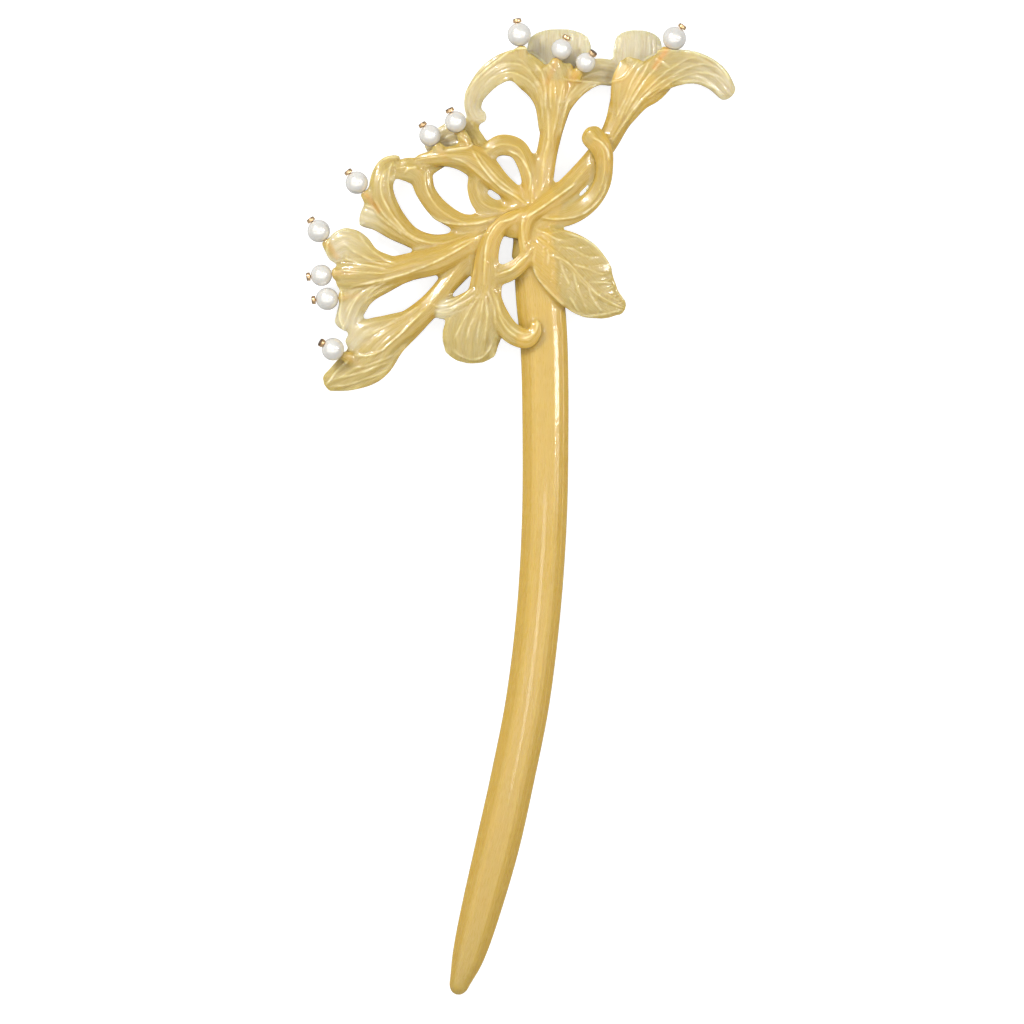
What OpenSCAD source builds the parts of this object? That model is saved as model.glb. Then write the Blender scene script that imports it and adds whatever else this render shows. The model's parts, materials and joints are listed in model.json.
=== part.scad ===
// Hair pin carved from one blank of translucent horn: a long tapered shaft, a hub, one leaf, seven trumpet
// flowers and their curled buds. Eleven drilled pearls turn on gold head pins set in the petals.
//
// Frame: the pin lies on its back. +Y runs from the tip to the flowers, +Z out of the front, +X is right.
// The origin is the middle of the hub's flat back. Every length is in millimetres.

/* [Carved horn] */
// Thickness of the petals and stems, as a share of the drawn thickness
petal_gauge = 1; // [0.9:0.05:1.15]
// Thickness of the shaft, as a share of the drawn thickness
shaft_gauge = 1; // [0.85:0.05:1.1]
// Diameter of the hub
hub_d = 10; // [9:0.5:11]
// Height of the hub
hub_h = 5.2; // [4.8:0.1:5.6]
// Width of the soft edge round the hub
hub_edge = 1; // [0.6:0.1:1.4]

/* [Pearls] */
// Usual diameter of a pearl
pearl_d = 4; // [3.6:0.1:4]
// Diameter of the hole through a pearl
pearl_bore_d = 0.6; // [0.56:0.02:0.7]

/* [Head pins] */
// Diameter of a pin's wire
wire_d = 0.5; // [0.4:0.02:0.5]
// Diameter of a pin's flat head
head_d = 1.5; // [1.2:0.1:1.8]
// Thickness of a pin's head
head_t = 0.4; // [0.3:0.05:0.5]
// Gap between a pearl and its pin's head
head_gap = 0.06; // [0.04:0.01:0.15]

/* [Facets] */
// Points round each carved stem
ring_sides = 12; // [10:2:16]
// Rings between two drawn stations
rings_per_span = 2; // [2:1:3]

/* [Hidden] */

// A carved member is stations along its middle line: [x, y, z, half width, half thickness, cup, roll].
// Cup lifts both edges above the middle, roll tips the section about the line, in degrees.
// Each member is [stations, length of its first rounded end, length of its last rounded end].

SHAFT = [[
    [-12.3, -134.9, 1.3, 1.8, 1.3, 0, 0], [-10.8, -130.2, 1.7, 2.8, 1.6, 0, 0],
    [-8.8, -122.8, 2.4, 3.4, 1.9, 0, 0], [-5.8, -111.1, 3.5, 3.8, 2.1, 0, 0],
    [-3.1, -99, 4.4, 3.8, 2.2, 0, 0], [-0.4, -85.2, 5.2, 3.8, 2.2, 0, 0],
    [1.5, -69.5, 5.6, 3.8, 2.2, 0, 0], [2.5, -53.7, 5.3, 3.9, 2.2, 0, 0],
    [2.7, -38, 4.5, 4, 2.2, 0, 0], [2.5, -24, 3.5, 4.1, 2.1, 0, 0],
    [1.8, -15.2, 3, 4.2, 2.1, 0, 0], [1.1, -8.6, 2.8, 3.8, 2.1, 0, 0],
    [0.4, -2.6, 2.8, 2.8, 2.1, 0, 0],
], 2.4, 0];

LEAF = [[[
    [1.8, -4.8, 5.3, 3, 1.1, 0, 0], [4.5, -7.3, 5.8, 4.9, 1.1, -0.4, 0], [7.1, -9.7, 5.9, 5.7, 1, -0.7, 0],
    [9.2, -12, 5.7, 5.6, 1, -0.7, 0], [11.3, -14.1, 5.3, 4.7, 0.9, -0.6, 0],
    [13.6, -15.6, 4.8, 3.2, 0.8, -0.4, 0],
    [15.7, -16.4, 4.4, 1.5, 0.7, -0.2, 0],
], 0.6, 1.1]];

// The top flower: its stem and throat, the long left lip, the right petal and the thin back petal
FLOWER_TOP = [
    [[
        [0.7, 0.4, 3.6, 1.7, 2, 0, 0], [1.8, 5.1, 3.7, 2.1, 1.9, 0, 0], [2.9, 10.2, 3.8, 1.8, 1.8, 0, 0],
        [3.8, 14.7, 4, 2, 1.7, 0, 0], [4.2, 18.2, 4.3, 2.8, 1.5, -0.4, 0], [4, 21.7, 4.8, 4.1, 1.2, -0.9, 0],
        [3.2, 24.7, 5.4, 4.4, 0.8, -1.2, 0],
    ], 0, 1],
    [[
        [2.8, 14.7, 4, 1.2, 1.3, 0, 0], [2.5, 19.7, 4.4, 1.9, 1.2, 0, 0], [0.5, 23.6, 4.9, 3, 1, 0.3, -8],
        [-3, 25.5, 5, 2.7, 0.8, 0.5, -12], [-6.6, 24.1, 4.4, 2.3, 0.7, 0.4, -12],
        [-9.3, 21.2, 3.4, 1.8, 0.7, 0.2, -6], [-10, 18.9, 2.5, 1.5, 0.7, 0, 0],
        [-9.4, 17.2, 2, 1.3, 0.7, 0, 0],
        [-8.1, 17.1, 2, 0.9, 0.7, 0, 0],
    ], 0.5, 0.5],
    [[
        [4.6, 14.7, 4, 1.2, 1.3, 0, 0], [5.4, 18.9, 4.2, 1.9, 1.2, 0, 0], [7.9, 22.6, 3.6, 2.4, 1, 0.3, 8],
        [11.5, 24.7, 2.6, 2.4, 0.8, 0.4, 8], [14.8, 24.7, 1.9, 2.2, 0.7, 0.2, 0],
        [17, 24.9, 1.5, 1.9, 0.7, 0, 0],
    ], 0.5, 1],
    [[
        [4.2, 20.7, 2.6, 2.3, 0.9, 0, 0], [4.8, 24.2, 1.9, 4, 0.8, 0.3, 0],
        [5.1, 27.5, 1.5, 5.7, 0.7, 0.5, 0],
        [5.1, 30.1, 1.3, 5.5, 0.6, 0.5, 0],
    ], 0.5, 2.7],
];

// The right flower: its stem from below the hub, the back petal, the right lip and two side folds
FLOWER_RIGHT = [
    [[
        [-0.9, -7.2, 5.2, 0.9, 1.2, 0, 0], [-1, -3.7, 5.6, 1.1, 1.3, 0, 0], [-0.1, -0.7, 5.7, 1.3, 1.4, 0, 0],
        [2.7, 1.4, 5, 1.6, 1.5, 0, 0], [6.2, 4, 4.3, 1.9, 1.6, 0, 0], [9.5, 7.4, 3.7, 1.9, 1.6, 0, 0],
        [12, 10.4, 3.4, 1.9, 1.6, 0, 0], [13.7, 12.8, 3.4, 1.9, 1.6, 0, 0], [15.2, 15.7, 3.6, 2.1, 1.5, 0, 0],
        [16.8, 19.2, 4, 2.9, 1.4, -0.3, 0], [18.6, 22.2, 4.6, 4.1, 1.1, -0.8, 0],
        [20.3, 25, 5.2, 4.2, 0.8, -1.1, 0],
    ], 0.6, 1],
    [[
        [18, 19.5, 3.2, 2, 1, 0, 0], [18.7, 22.6, 2.5, 3, 0.9, 0.1, 0], [18.8, 25.8, 1.8, 4, 0.8, 0.3, 0],
        [18.9, 28.2, 1.4, 4.3, 0.7, 0.5, 0], [19, 30.2, 1.2, 4.1, 0.6, 0.5, 0],
    ], 0.5, 2.4],
    [[
        [16.5, 17.4, 4, 1.3, 1.3, 0, 0], [19.5, 21.6, 4.6, 2.3, 1.2, 0, 0],
        [22.5, 24.3, 4.9, 3.1, 1, 0.3, -6],
        [26.1, 25.4, 4.5, 3, 0.8, 0.5, -10], [29.7, 25.2, 3.8, 2.6, 0.7, 0.5, -10],
        [32.6, 23.7, 3, 2.3, 0.7, 0.3, -6], [34.6, 21.4, 2.2, 1.7, 0.7, 0, 0],
    ], 0.5, 1.2],
    [[
        [17, 16.2, 4, 0.9, 1.1, 0, 0], [19.3, 19.3, 4.2, 1.4, 1.2, 0, 0], [21.5, 21, 4.2, 1.7, 1.2, 0, 0],
        [23.5, 22.7, 4, 1.5, 1.1, 0, 0],
    ], 0.5, 0.7],
    [[
        [15.2, 16.7, 3.8, 1.1, 1.2, 0, 0], [15.4, 19.9, 4, 1.3, 1.2, 0, 0], [16.1, 23, 4.2, 1.8, 1, 0, 0],
        [17.5, 25.5, 4.4, 2.1, 0.8, 0, 0],
    ], 0.5, 0.9],
];

// The upper left flower: its stem and lip, and two petals behind
FLOWER_UPPER_LEFT = [
    [[
        [-0.4, 0.9, 3.7, 1.1, 1.6, 0, 0], [-2.5, 3, 3.9, 1.5, 1.6, 0, 0], [-5.5, 5.5, 4.1, 1.9, 1.6, 0, 0],
        [-8.1, 7.9, 4.3, 2.5, 1.6, -0.2, 0], [-10.6, 9.4, 4.6, 2.6, 1.4, -0.4, 0],
        [-13.6, 9.8, 4.8, 1.9, 1.2, -0.3, 0], [-16.6, 9.6, 4.6, 1.4, 1, 0, 0],
        [-19.4, 9.3, 4.2, 0.9, 0.8, 0, 0],
    ], 0, 0.5],
    [[
        [-8.1, 10.2, 3.2, 1.5, 1.1, 0, 0], [-9.9, 12.3, 2.6, 2.2, 0.9, 0.2, 0],
        [-12.1, 13.9, 2.1, 2.7, 0.8, 0.3, 0], [-14.9, 13.2, 1.8, 2.3, 0.7, 0.3, 0],
        [-17.5, 11.6, 1.5, 1.6, 0.7, 0.2, 0],
    ], 0.5, 0.8],
    [[
        [-9.3, 11.1, 3.1, 1.3, 1.1, 0, 0], [-10.3, 13.5, 2.5, 1.3, 0.9, 0, 0],
        [-10.2, 15.8, 2.1, 1.3, 0.8, 0, 0],
    ], 0.5, 0.5],
];

// The flower below it on the left: a stem that bends back up to a long lip, and a side petal
FLOWER_LEFT_UPPER = [
    [[
        [-3.6, -0.9, 3, 1.1, 1.5, 0, 0], [-7.6, -2.7, 3, 1.4, 1.5, 0, 0], [-12.1, -4.5, 3.1, 1.5, 1.5, 0, 0],
        [-16.6, -5.3, 3.3, 1.6, 1.5, 0, 0], [-20.7, -4.2, 3.6, 1.8, 1.4, 0, 0],
        [-23.8, -1.4, 4, 2.2, 1.3, -0.3, 0], [-25.7, 2.1, 4.4, 2.3, 1.1, -0.4, 0],
        [-26, 5.1, 4.5, 2.1, 0.9, -0.3, 0], [-24.9, 7.7, 4, 2.1, 0.8, 0, 0],
        [-22.9, 8.6, 3.2, 1.8, 0.7, 0, 0],
    ], 0, 0.7],
    [[
        [-20.2, -5, 3.3, 1.2, 1.2, 0, 0], [-23.4, -2.9, 3.7, 1.9, 1.2, 0, 0],
        [-26.2, -0.8, 3.9, 2.4, 1, -0.3, 0], [-28.4, 0.2, 3.8, 2.7, 0.8, -0.3, 0],
    ], 0.5, 1.2],
];

// The left flower: its stem and middle petal, the upper petal and the lower petal
FLOWER_LEFT = [
    [[
        [-3.1, -1.2, 3, 1.1, 1.6, 0, 0], [-7.3, -3.5, 3.3, 1.5, 1.7, 0, 0], [-11.9, -6.2, 3.8, 2, 1.7, 0, 0],
        [-16.4, -8.3, 4.3, 2.4, 1.6, 0, 0], [-20.9, -9.4, 4.7, 2.4, 1.4, -0.2, 0],
        [-25.4, -10.6, 4.9, 2.8, 1.2, -0.5, 0], [-29.5, -10.8, 4.8, 3.1, 1, -0.6, 0],
        [-32.8, -10.9, 4.4, 2.8, 0.8, -0.5, 0],
    ], 0, 1.4],
    [[
        [-21.2, -9.3, 4, 1, 1.2, 0, 0], [-24.7, -8.7, 4.2, 1.3, 1.1, 0, 0], [-27.7, -7.9, 4.3, 1.8, 1, 0, 0],
        [-30.2, -6.5, 4.3, 2.9, 0.9, -0.3, 0], [-32.3, -5.7, 4.1, 3, 0.8, -0.4, 0],
        [-34.5, -6.8, 3.7, 2.2, 0.7, -0.3, 0],
    ], 0.5, 1.2],
    [[
        [-21.2, -10.4, 4, 1.2, 1.2, 0, 0], [-24.9, -12.2, 4.2, 1.5, 1.1, 0, 0],
        [-28.4, -13.8, 4.3, 1.9, 0.9, 0, 0], [-30.7, -15.8, 4.1, 2.4, 0.8, -0.3, 0],
        [-32.3, -19.3, 3.6, 2, 0.7, -0.2, 0],
    ], 0.5, 1.3],
];

// The lower left flower: its stem and long lip, and a side petal
FLOWER_LOWER_LEFT = [
    [[
        [-6.8, -3.9, 2.8, 1.5, 1.4, 0, 0], [-10.9, -8.1, 3, 2.2, 1.5, 0, 0],
        [-14.5, -12.4, 3.2, 1.8, 1.5, 0, 0],
        [-17.5, -16.1, 3.5, 2, 1.5, 0, 0], [-21.1, -19.4, 4, 2.5, 1.4, -0.3, 0],
        [-24.9, -22.3, 4.5, 3.3, 1.1, -0.6, 0], [-28.2, -25.8, 4.4, 4, 0.9, -0.6, 0],
        [-32, -28.1, 3.6, 3.1, 0.8, -0.3, 0], [-35.3, -29.6, 2.8, 1.7, 0.7, 0, 0],
    ], 0, 0.9],
    [[
        [-20.7, -18.2, 3.6, 1.3, 1.2, 0, 0], [-24.7, -19.7, 3.9, 1.9, 1.1, 0, 0],
        [-28.4, -21.2, 4, 2.5, 0.9, -0.2, 0], [-30.7, -23.4, 3.8, 2.1, 0.8, -0.2, 0],
    ], 0.5, 1],
];

// The bottom flower: its stem and wide lower lobe, a curl to the left and a curl over the shaft
FLOWER_BOTTOM = [
    [[
        [-0.5, -0.2, 5.1, 1.1, 1.3, 0, 0], [-3.7, -1.3, 5.5, 1.3, 1.4, 0, 0], [-6.3, -4, 5.5, 1.6, 1.5, 0, 0],
        [-7.5, -7.7, 5.1, 2, 1.5, 0, 0], [-7.6, -11.4, 4.8, 2.6, 1.5, 0, 0],
        [-8.1, -15, 4.9, 3.1, 1.3, -0.3, 0],
        [-9.3, -18.5, 5.1, 4.6, 1.1, -0.6, 0], [-10.2, -21.5, 4.9, 5.1, 0.9, -0.7, 0],
        [-10.4, -23.5, 4.5, 4.7, 0.8, -0.6, 0],
    ], 0.6, 3],
    [[
        [-7.6, -13, 4.8, 1.4, 1.2, 0, 0], [-10.4, -15.5, 4.8, 1.9, 1.1, 0, 0],
        [-13.4, -16.7, 4.5, 1.8, 0.9, -0.2, 0], [-15.7, -17, 4, 1.5, 0.8, 0, 0],
    ], 0.5, 1.2],
    [[
        [-6.5, -13.5, 4.8, 1.1, 1.2, 0, 0], [-5.6, -17, 5, 1.4, 1.2, 0, 0],
        [-3.7, -20.6, 5.5, 1.8, 1.1, 0, 0],
        [-0.8, -22.1, 6.1, 1.7, 1, 0, 0], [0.8, -21, 6.3, 1.2, 0.9, 0, 0], [1, -19.6, 6.3, 0.9, 0.9, 0, 0],
    ], 0.5, 0.7],
];

TENDRIL_RIGHT = [[[
    [0.9, -0.5, 4.2, 1.3, 1.5, 0, 0], [4.2, -0.9, 4.3, 1.7, 1.5, 0, 0], [7.6, -0.1, 4.4, 1.7, 1.4, 0, 0],
    [10.6, 2, 4.6, 1.6, 1.3, 0, 0], [12.5, 5, 5, 1.5, 1.3, 0, 0], [13, 8.4, 5.6, 1.5, 1.3, 0, 0],
    [12.4, 11.2, 6.2, 1.9, 1.4, 0, 0], [10.9, 13.1, 6.4, 2, 1.4, 0, 0],
], 0, 1.8]];

TENDRIL_UPPER = [[[
    [0.3, 1.9, 4.4, 1, 1.4, 0, 0], [0, 5.1, 4.5, 1.3, 1.5, 0, 0], [-0.6, 8.2, 4.5, 1.5, 1.5, 0, 0],
    [-2.1, 11.1, 4.3, 1.7, 1.4, 0, 0], [-4.8, 11.9, 4.1, 1.8, 1.3, 0, 0], [-7.3, 10.9, 3.9, 1.5, 1.3, 0, 0],
], 0, 0.8]];

TENDRIL_LEFT = [
    [[
        [-3.6, -0.5, 3.4, 1.3, 1.5, 0, 0], [-7.6, -1.4, 3.4, 1.4, 1.5, 0, 0],
        [-11.9, -1.6, 3.3, 1.5, 1.5, 0, 0],
        [-15.9, 0.7, 3.4, 1.7, 1.4, 0, 0], [-18.2, 3.7, 3.6, 1.7, 1.3, 0, 0], [-19.2, 6.5, 3.9, 2, 1.2, 0, 0],
        [-20.9, 7.5, 4.2, 2.2, 1, -0.2, 0], [-22.6, 7.6, 4, 1.8, 0.9, 0, 0],
    ], 0, 0.8],
    [[
        [-14.7, 9.3, 3.4, 0.8, 1, 0, 0], [-17, 8.5, 3.6, 1.4, 1.1, 0, 0], [-19.2, 7.6, 3.8, 1.9, 1.1, 0, 0],
    ], 0.5, 0.8],
];

TENDRIL_INNER = [[[
    [-1.8, 0.2, 3.4, 1.1, 1.4, 0, 0], [-5.1, 0.5, 3.4, 1.4, 1.4, 0, 0], [-8.1, 1.6, 3.4, 1.7, 1.4, 0, 0],
    [-9.4, 4, 3.5, 1.5, 1.4, 0, 0], [-9.5, 6.6, 3.7, 1.2, 1.3, 0, 0],
], 0, 0.8]];

BRANCH_LOWER = [[[
    [0.3, -6.5, 5.2, 1, 1.2, 0, 0], [-1.8, -9.2, 5.2, 1.4, 1.3, 0, 0], [-4.3, -10.7, 5, 1.6, 1.3, 0, 0],
    [-6.5, -11.2, 4.8, 1.4, 1.2, 0, 0],
], 0.5, 0.5]];

// Where two members cross, the earlier one here keeps its full shape and the later one is cut back to it
CARVED = [
    FLOWER_RIGHT, FLOWER_BOTTOM, LEAF, FLOWER_TOP, FLOWER_UPPER_LEFT, TENDRIL_RIGHT, TENDRIL_UPPER,
    BRANCH_LOWER, FLOWER_LEFT, FLOWER_LEFT_UPPER, FLOWER_LOWER_LEFT, TENDRIL_LEFT, TENDRIL_INNER, [SHAFT],
];

// Pearls: [x, y, z, heading of the pin's head in the XY plane, rise of the head out of it, pin's reach, size]
// The reach runs from the pearl's centre to the buried end of the wire. The size is a share of pearl_d.
PEARLS = [
    [-1.9, 31.1, 5.1, 98, 0, 6.8, 1.04],
    [5.5, 28.5, 5.3, 67, 0, 6.6, 0.92],
    [9.7, 26.1, 6, 51, 22, 6.6, 0.88],
    [25.2, 30.4, 5.3, 56, 3, 6.4, 1.04],
    [-13, 15.8, 5.4, 117, 12, 7.4, 0.95],
    [-17.5, 13.5, 4.8, 124, 0, 5.6, 0.95],
    [-30.3, 5.3, 4.3, 128, 2, 6.4, 1],
    [-37, -3.1, 3.7, 125, 0, 5.8, 1],
    [-36.5, -10.9, 4.4, -174, 0, 6, 0.95],
    [-35.5, -15, 4, -175, 0, 5.6, 1],
    [-34.4, -23.9, 5.9, 151, 20, 6.4, 1],
];
TOP_PINS = [0, 1, 2];
RIGHT_PINS = [3];
UPPER_LEFT_PINS = [4, 5];
LEFT_UPPER_PINS = [6];
LEFT_PINS = [7, 8, 9];
LOWER_LEFT_PINS = [10];

horn_colour = "#d8b264";
shaft_colour = "#d3aa5a";
pearl_colour = "#f3efe8";
gold_colour = "#c9a24a";
dome_steps = 3;
hub_back_r = hub_d / 2 - 0.4;

function pearl_size(i) = pearl_d * PEARLS[i][6];

function number_name(i) = i < 9 ? str("0", i + 1) : str(i + 1);

// The smooth curve through b and c, with a before and d after, at share t of the way
function through(a, b, c, d, t) =
    0.5 * (2 * b + (c - a) * t + (2 * a - 5 * b + 4 * c - d) * t * t + (3 * b - a - 3 * c + d) * t * t * t);

function station(line, i, t) =
    let (
        last = len(line) - 1,
        b = line[i],
        c = line[min(i + 1, last)],
        a = i > 0 ? line[i - 1] : 2 * b - c,
        d = i + 2 <= last ? line[i + 2] : 2 * c - b
    ) through(a, b, c, d, t);

function smooth(line) = concat(
    [for (i = [0:len(line) - 2], k = [0:rings_per_span - 1]) station(line, i, k / rings_per_span)],
    [line[len(line) - 1]]
);

function middle(s) = [s[0], s[1], s[2]];

function heading(path, i) =
    let (d = middle(path[min(i + 1, len(path) - 1)]) - middle(path[max(i - 1, 0)])) d / norm(d);

// One ring of points round station s, moved along its heading h and drawn in to share k of its size
function ring(s, h, shift, k, gauge) =
    let (flat = norm([h[0], h[1]]), side = [h[1] / flat, -h[0] / flat, 0], o = middle(s) + h * shift)
    [for (j = [0:ring_sides - 1])
        let (
            a = 360 * j / ring_sides,
            across = s[3] * k * cos(a),
            up = s[4] * gauge * k * sin(a) + s[5] * k * k * cos(a) * cos(a)
        )
        o + side * (across * cos(s[6]) - up * sin(s[6])) + [0, 0, across * sin(s[6]) + up * cos(s[6])]
    ];

// All rings of a member, from its first rounded end to its last
function rings(path, first, last, gauge) =
    let (n = len(path) - 1, h0 = heading(path, 0), h1 = heading(path, n))
    concat(
        [for (k = [dome_steps - 1:-1:1])
            let (a = 90 * k / dome_steps) ring(path[0], h0, -max(first, 0.01) * sin(a), cos(a), gauge)],
        [for (i = [0:n]) ring(path[i], heading(path, i), 0, 1, gauge)],
        [for (k = [1:dome_steps - 1])
            let (a = 90 * k / dome_steps) ring(path[n], h1, max(last, 0.01) * sin(a), cos(a), gauge)]
    );

// A ribbon of horn: rings joined by triangles, closed to a point at each rounded end
module ribbon(member, gauge) {
    path = smooth(member[0]);
    all = rings(path, member[1], member[2], gauge);
    last = len(all) - 1;
    start = middle(path[0]) - heading(path, 0) * max(member[1], 0.01);
    end = middle(path[len(path) - 1]) + heading(path, len(path) - 1) * max(member[2], 0.01);
    points = concat([for (r = all, p = r) p], [start, end]);
    start_i = len(points) - 2;
    end_i = len(points) - 1;
    sides = [for (i = [0:last - 1], j = [0:ring_sides - 1])
        let (a = i * ring_sides + j, b = i * ring_sides + (j + 1) % ring_sides)
        each [[a, b, b + ring_sides], [a, b + ring_sides, a + ring_sides]]];
    caps = [for (j = [0:ring_sides - 1])
        let (next = (j + 1) % ring_sides)
        each [[start_i, next, j], [end_i, last * ring_sides + j, last * ring_sides + next]]];
    polyhedron(points, concat(sides, caps));
}

module ribbons(members, gauge = petal_gauge) {
    for (m = members)
        ribbon(m, gauge);
}

// A zero in resize() leaves the size alone, and makes one skin of what it holds
module one_skin() {
    resize([0, 0, 0])
        children();
}

// The hub: a button with a flat back and a soft front edge
module hub_blank() {
    back = hub_d / 2 - hub_back_r;
    rotate_extrude($fn = 64)
        polygon(concat(
            [[0, 0], [hub_back_r, 0], [hub_d / 2, back]],
            [for (a = [0:15:90])
                [hub_d / 2 - hub_edge + hub_edge * cos(a), hub_h - hub_edge + hub_edge * sin(a)]],
            [[0, hub_h]]
        ));
}

// Carved member i of CARVED, cut back to the hub and to every member before it
module carved(i, gauge = petal_gauge) {
    one_skin()
        difference() {
            ribbons(CARVED[i], gauge);
            hub_blank();
            if (i > 0)
                for (k = [0:i - 1])
                    ribbons(CARVED[k]);
        }
}

// Puts its children at pearl i, with +Z towards the head of the pin
module at_pearl(i) {
    p = PEARLS[i];
    translate([p[0], p[1], p[2]])
        rotate([0, 90 - p[4], p[3]])
            children();
}

// The drilled hole that holds the wire of pin i
module pin_hole(i) {
    reach = PEARLS[i][5];
    at_pearl(i)
        translate([0, 0, -reach])
            cylinder(d = wire_d, h = reach, $fn = 24);
}

module pinned(i, pins) {
    color(horn_colour)
        difference() {
            carved(i);
            for (p = pins)
                pin_hole(p);
        }
}

module hub() {
    color(horn_colour)
        hub_blank();
}

module shaft() {
    color(shaft_colour)
        carved(13, shaft_gauge);
}

module leaf() {
    color(horn_colour)
        carved(2);
}

module flower_right() {
    pinned(0, RIGHT_PINS);
}

module flower_bottom() {
    color(horn_colour)
        carved(1);
}

module flower_top() {
    pinned(3, TOP_PINS);
}

module flower_upper_left() {
    pinned(4, UPPER_LEFT_PINS);
}

module tendril_right() {
    color(horn_colour)
        carved(5);
}

module tendril_upper() {
    color(horn_colour)
        carved(6);
}

module branch_lower() {
    color(horn_colour)
        carved(7);
}

module flower_left() {
    pinned(8, LEFT_PINS);
}

module flower_left_upper() {
    pinned(9, LEFT_UPPER_PINS);
}

module flower_lower_left() {
    pinned(10, LOWER_LEFT_PINS);
}

module tendril_left() {
    color(horn_colour)
        carved(11);
}

module tendril_inner() {
    color(horn_colour)
        carved(12);
}

// A round pearl, drilled through
module pearl(i) {
    color(pearl_colour)
        at_pearl(i)
            difference() {
                sphere(d = pearl_size(i), $fn = 48);
                translate([0, 0, -pearl_d])
                    cylinder(d = pearl_bore_d, h = 2 * pearl_d, $fn = 24);
            }
}

// A head pin turned in one piece: the buried wire and the flared flat head
module head_pin(i) {
    reach = PEARLS[i][5];
    head_start = pearl_size(i) / 2 + head_gap;
    rim = head_t / 3;
    color(gold_colour)
        at_pearl(i)
            rotate_extrude($fn = 32)
                polygon([
                    [0, -reach],
                    [wire_d / 2, -reach],
                    [wire_d / 2, head_start],
                    [head_d / 2 - rim, head_start],
                    [head_d / 2, head_start + rim],
                    [head_d / 2, head_start + 2 * rim],
                    [head_d / 2 - rim, head_start + head_t],
                    [0, head_start + head_t],
                ]);
}

hub();
shaft();
leaf();
flower_top();
flower_right();
flower_upper_left();
flower_left_upper();
flower_left();
flower_lower_left();
flower_bottom();
tendril_right();
tendril_upper();
tendril_left();
tendril_inner();
branch_lower();
for (i = [0:len(PEARLS) - 1]) {
    pearl(i);
    head_pin(i);
}
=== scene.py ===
"""Carved horn hair pin with honeysuckle flowers, pearls and gold head pins.

The horn is one carved blank. It is swept here along the same middle lines as the CAD members, fused into one
skin, and then carved: ribs, rims, folds and veins follow each member from its root to its end.
Lengths in the tables are in millimetres, in the CAD frame: +Y towards the flowers, +Z out of the front.
"""
import json
import math

import bpy
import numpy as np
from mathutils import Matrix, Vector
from mathutils.bvhtree import BVHTree
from mathutils.kdtree import KDTree

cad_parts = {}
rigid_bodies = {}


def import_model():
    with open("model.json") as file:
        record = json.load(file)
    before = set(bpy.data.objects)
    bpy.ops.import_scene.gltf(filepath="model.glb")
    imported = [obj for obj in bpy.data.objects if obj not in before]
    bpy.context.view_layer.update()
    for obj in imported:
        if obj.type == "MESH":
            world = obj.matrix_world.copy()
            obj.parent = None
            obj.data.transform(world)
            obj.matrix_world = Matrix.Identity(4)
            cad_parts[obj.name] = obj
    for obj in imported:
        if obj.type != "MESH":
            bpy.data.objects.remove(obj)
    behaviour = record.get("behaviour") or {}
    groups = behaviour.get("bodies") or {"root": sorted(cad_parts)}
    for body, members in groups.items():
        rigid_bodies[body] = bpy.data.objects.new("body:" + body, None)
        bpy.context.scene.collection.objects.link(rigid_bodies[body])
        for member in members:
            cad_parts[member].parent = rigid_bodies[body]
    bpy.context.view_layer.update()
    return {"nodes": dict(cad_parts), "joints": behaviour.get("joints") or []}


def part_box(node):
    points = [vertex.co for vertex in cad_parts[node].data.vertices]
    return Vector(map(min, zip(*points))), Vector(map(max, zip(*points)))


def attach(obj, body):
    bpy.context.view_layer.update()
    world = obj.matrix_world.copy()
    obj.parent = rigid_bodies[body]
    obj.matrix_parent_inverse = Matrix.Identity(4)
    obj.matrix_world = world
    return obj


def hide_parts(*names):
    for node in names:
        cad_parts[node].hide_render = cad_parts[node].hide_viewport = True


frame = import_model()
MM = 0.001

# ---------------------------------------------------------------------------------------------------------
# The carved members. Each is (kind, stations, first rounded end, last rounded end).
# A station is [x, y, z, half width, half thickness, cup, roll].

SHAFT = [
    ("shaft", [
        [-12.3, -134.9, 1.3, 1.8, 1.3, 0, 0], [-10.8, -130.2, 1.7, 2.8, 1.6, 0, 0],
        [-8.8, -122.8, 2.4, 3.4, 1.9, 0, 0], [-5.8, -111.1, 3.5, 3.8, 2.1, 0, 0],
        [-3.1, -99, 4.4, 3.8, 2.2, 0, 0], [-0.4, -85.2, 5.2, 3.8, 2.2, 0, 0],
        [1.5, -69.5, 5.6, 3.8, 2.2, 0, 0], [2.5, -53.7, 5.3, 3.9, 2.2, 0, 0], [2.7, -38, 4.5, 4, 2.2, 0, 0],
        [2.5, -24, 3.5, 4.1, 2.1, 0, 0], [1.8, -15.2, 3, 4.2, 2.1, 0, 0], [1.1, -8.6, 2.8, 3.8, 2.1, 0, 0],
        [0.4, -2.6, 2.8, 2.8, 2.1, 0, 0],
    ], 2.4, 0.5),
]

LEAF = [
    ("leaf", [
        [1.8, -4.8, 5.3, 3, 1.1, 0, 0], [4.5, -7.3, 5.8, 4.9, 1.1, -0.4, 0],
        [7.1, -9.7, 5.9, 5.7, 1, -0.7, 0], [9.2, -12, 5.7, 5.6, 1, -0.7, 0],
        [11.3, -14.1, 5.3, 4.7, 0.9, -0.6, 0], [13.6, -15.6, 4.8, 3.2, 0.8, -0.4, 0],
        [15.7, -16.4, 4.4, 1.5, 0.7, -0.2, 0],
    ], 0.6, 1.1),
]

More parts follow.
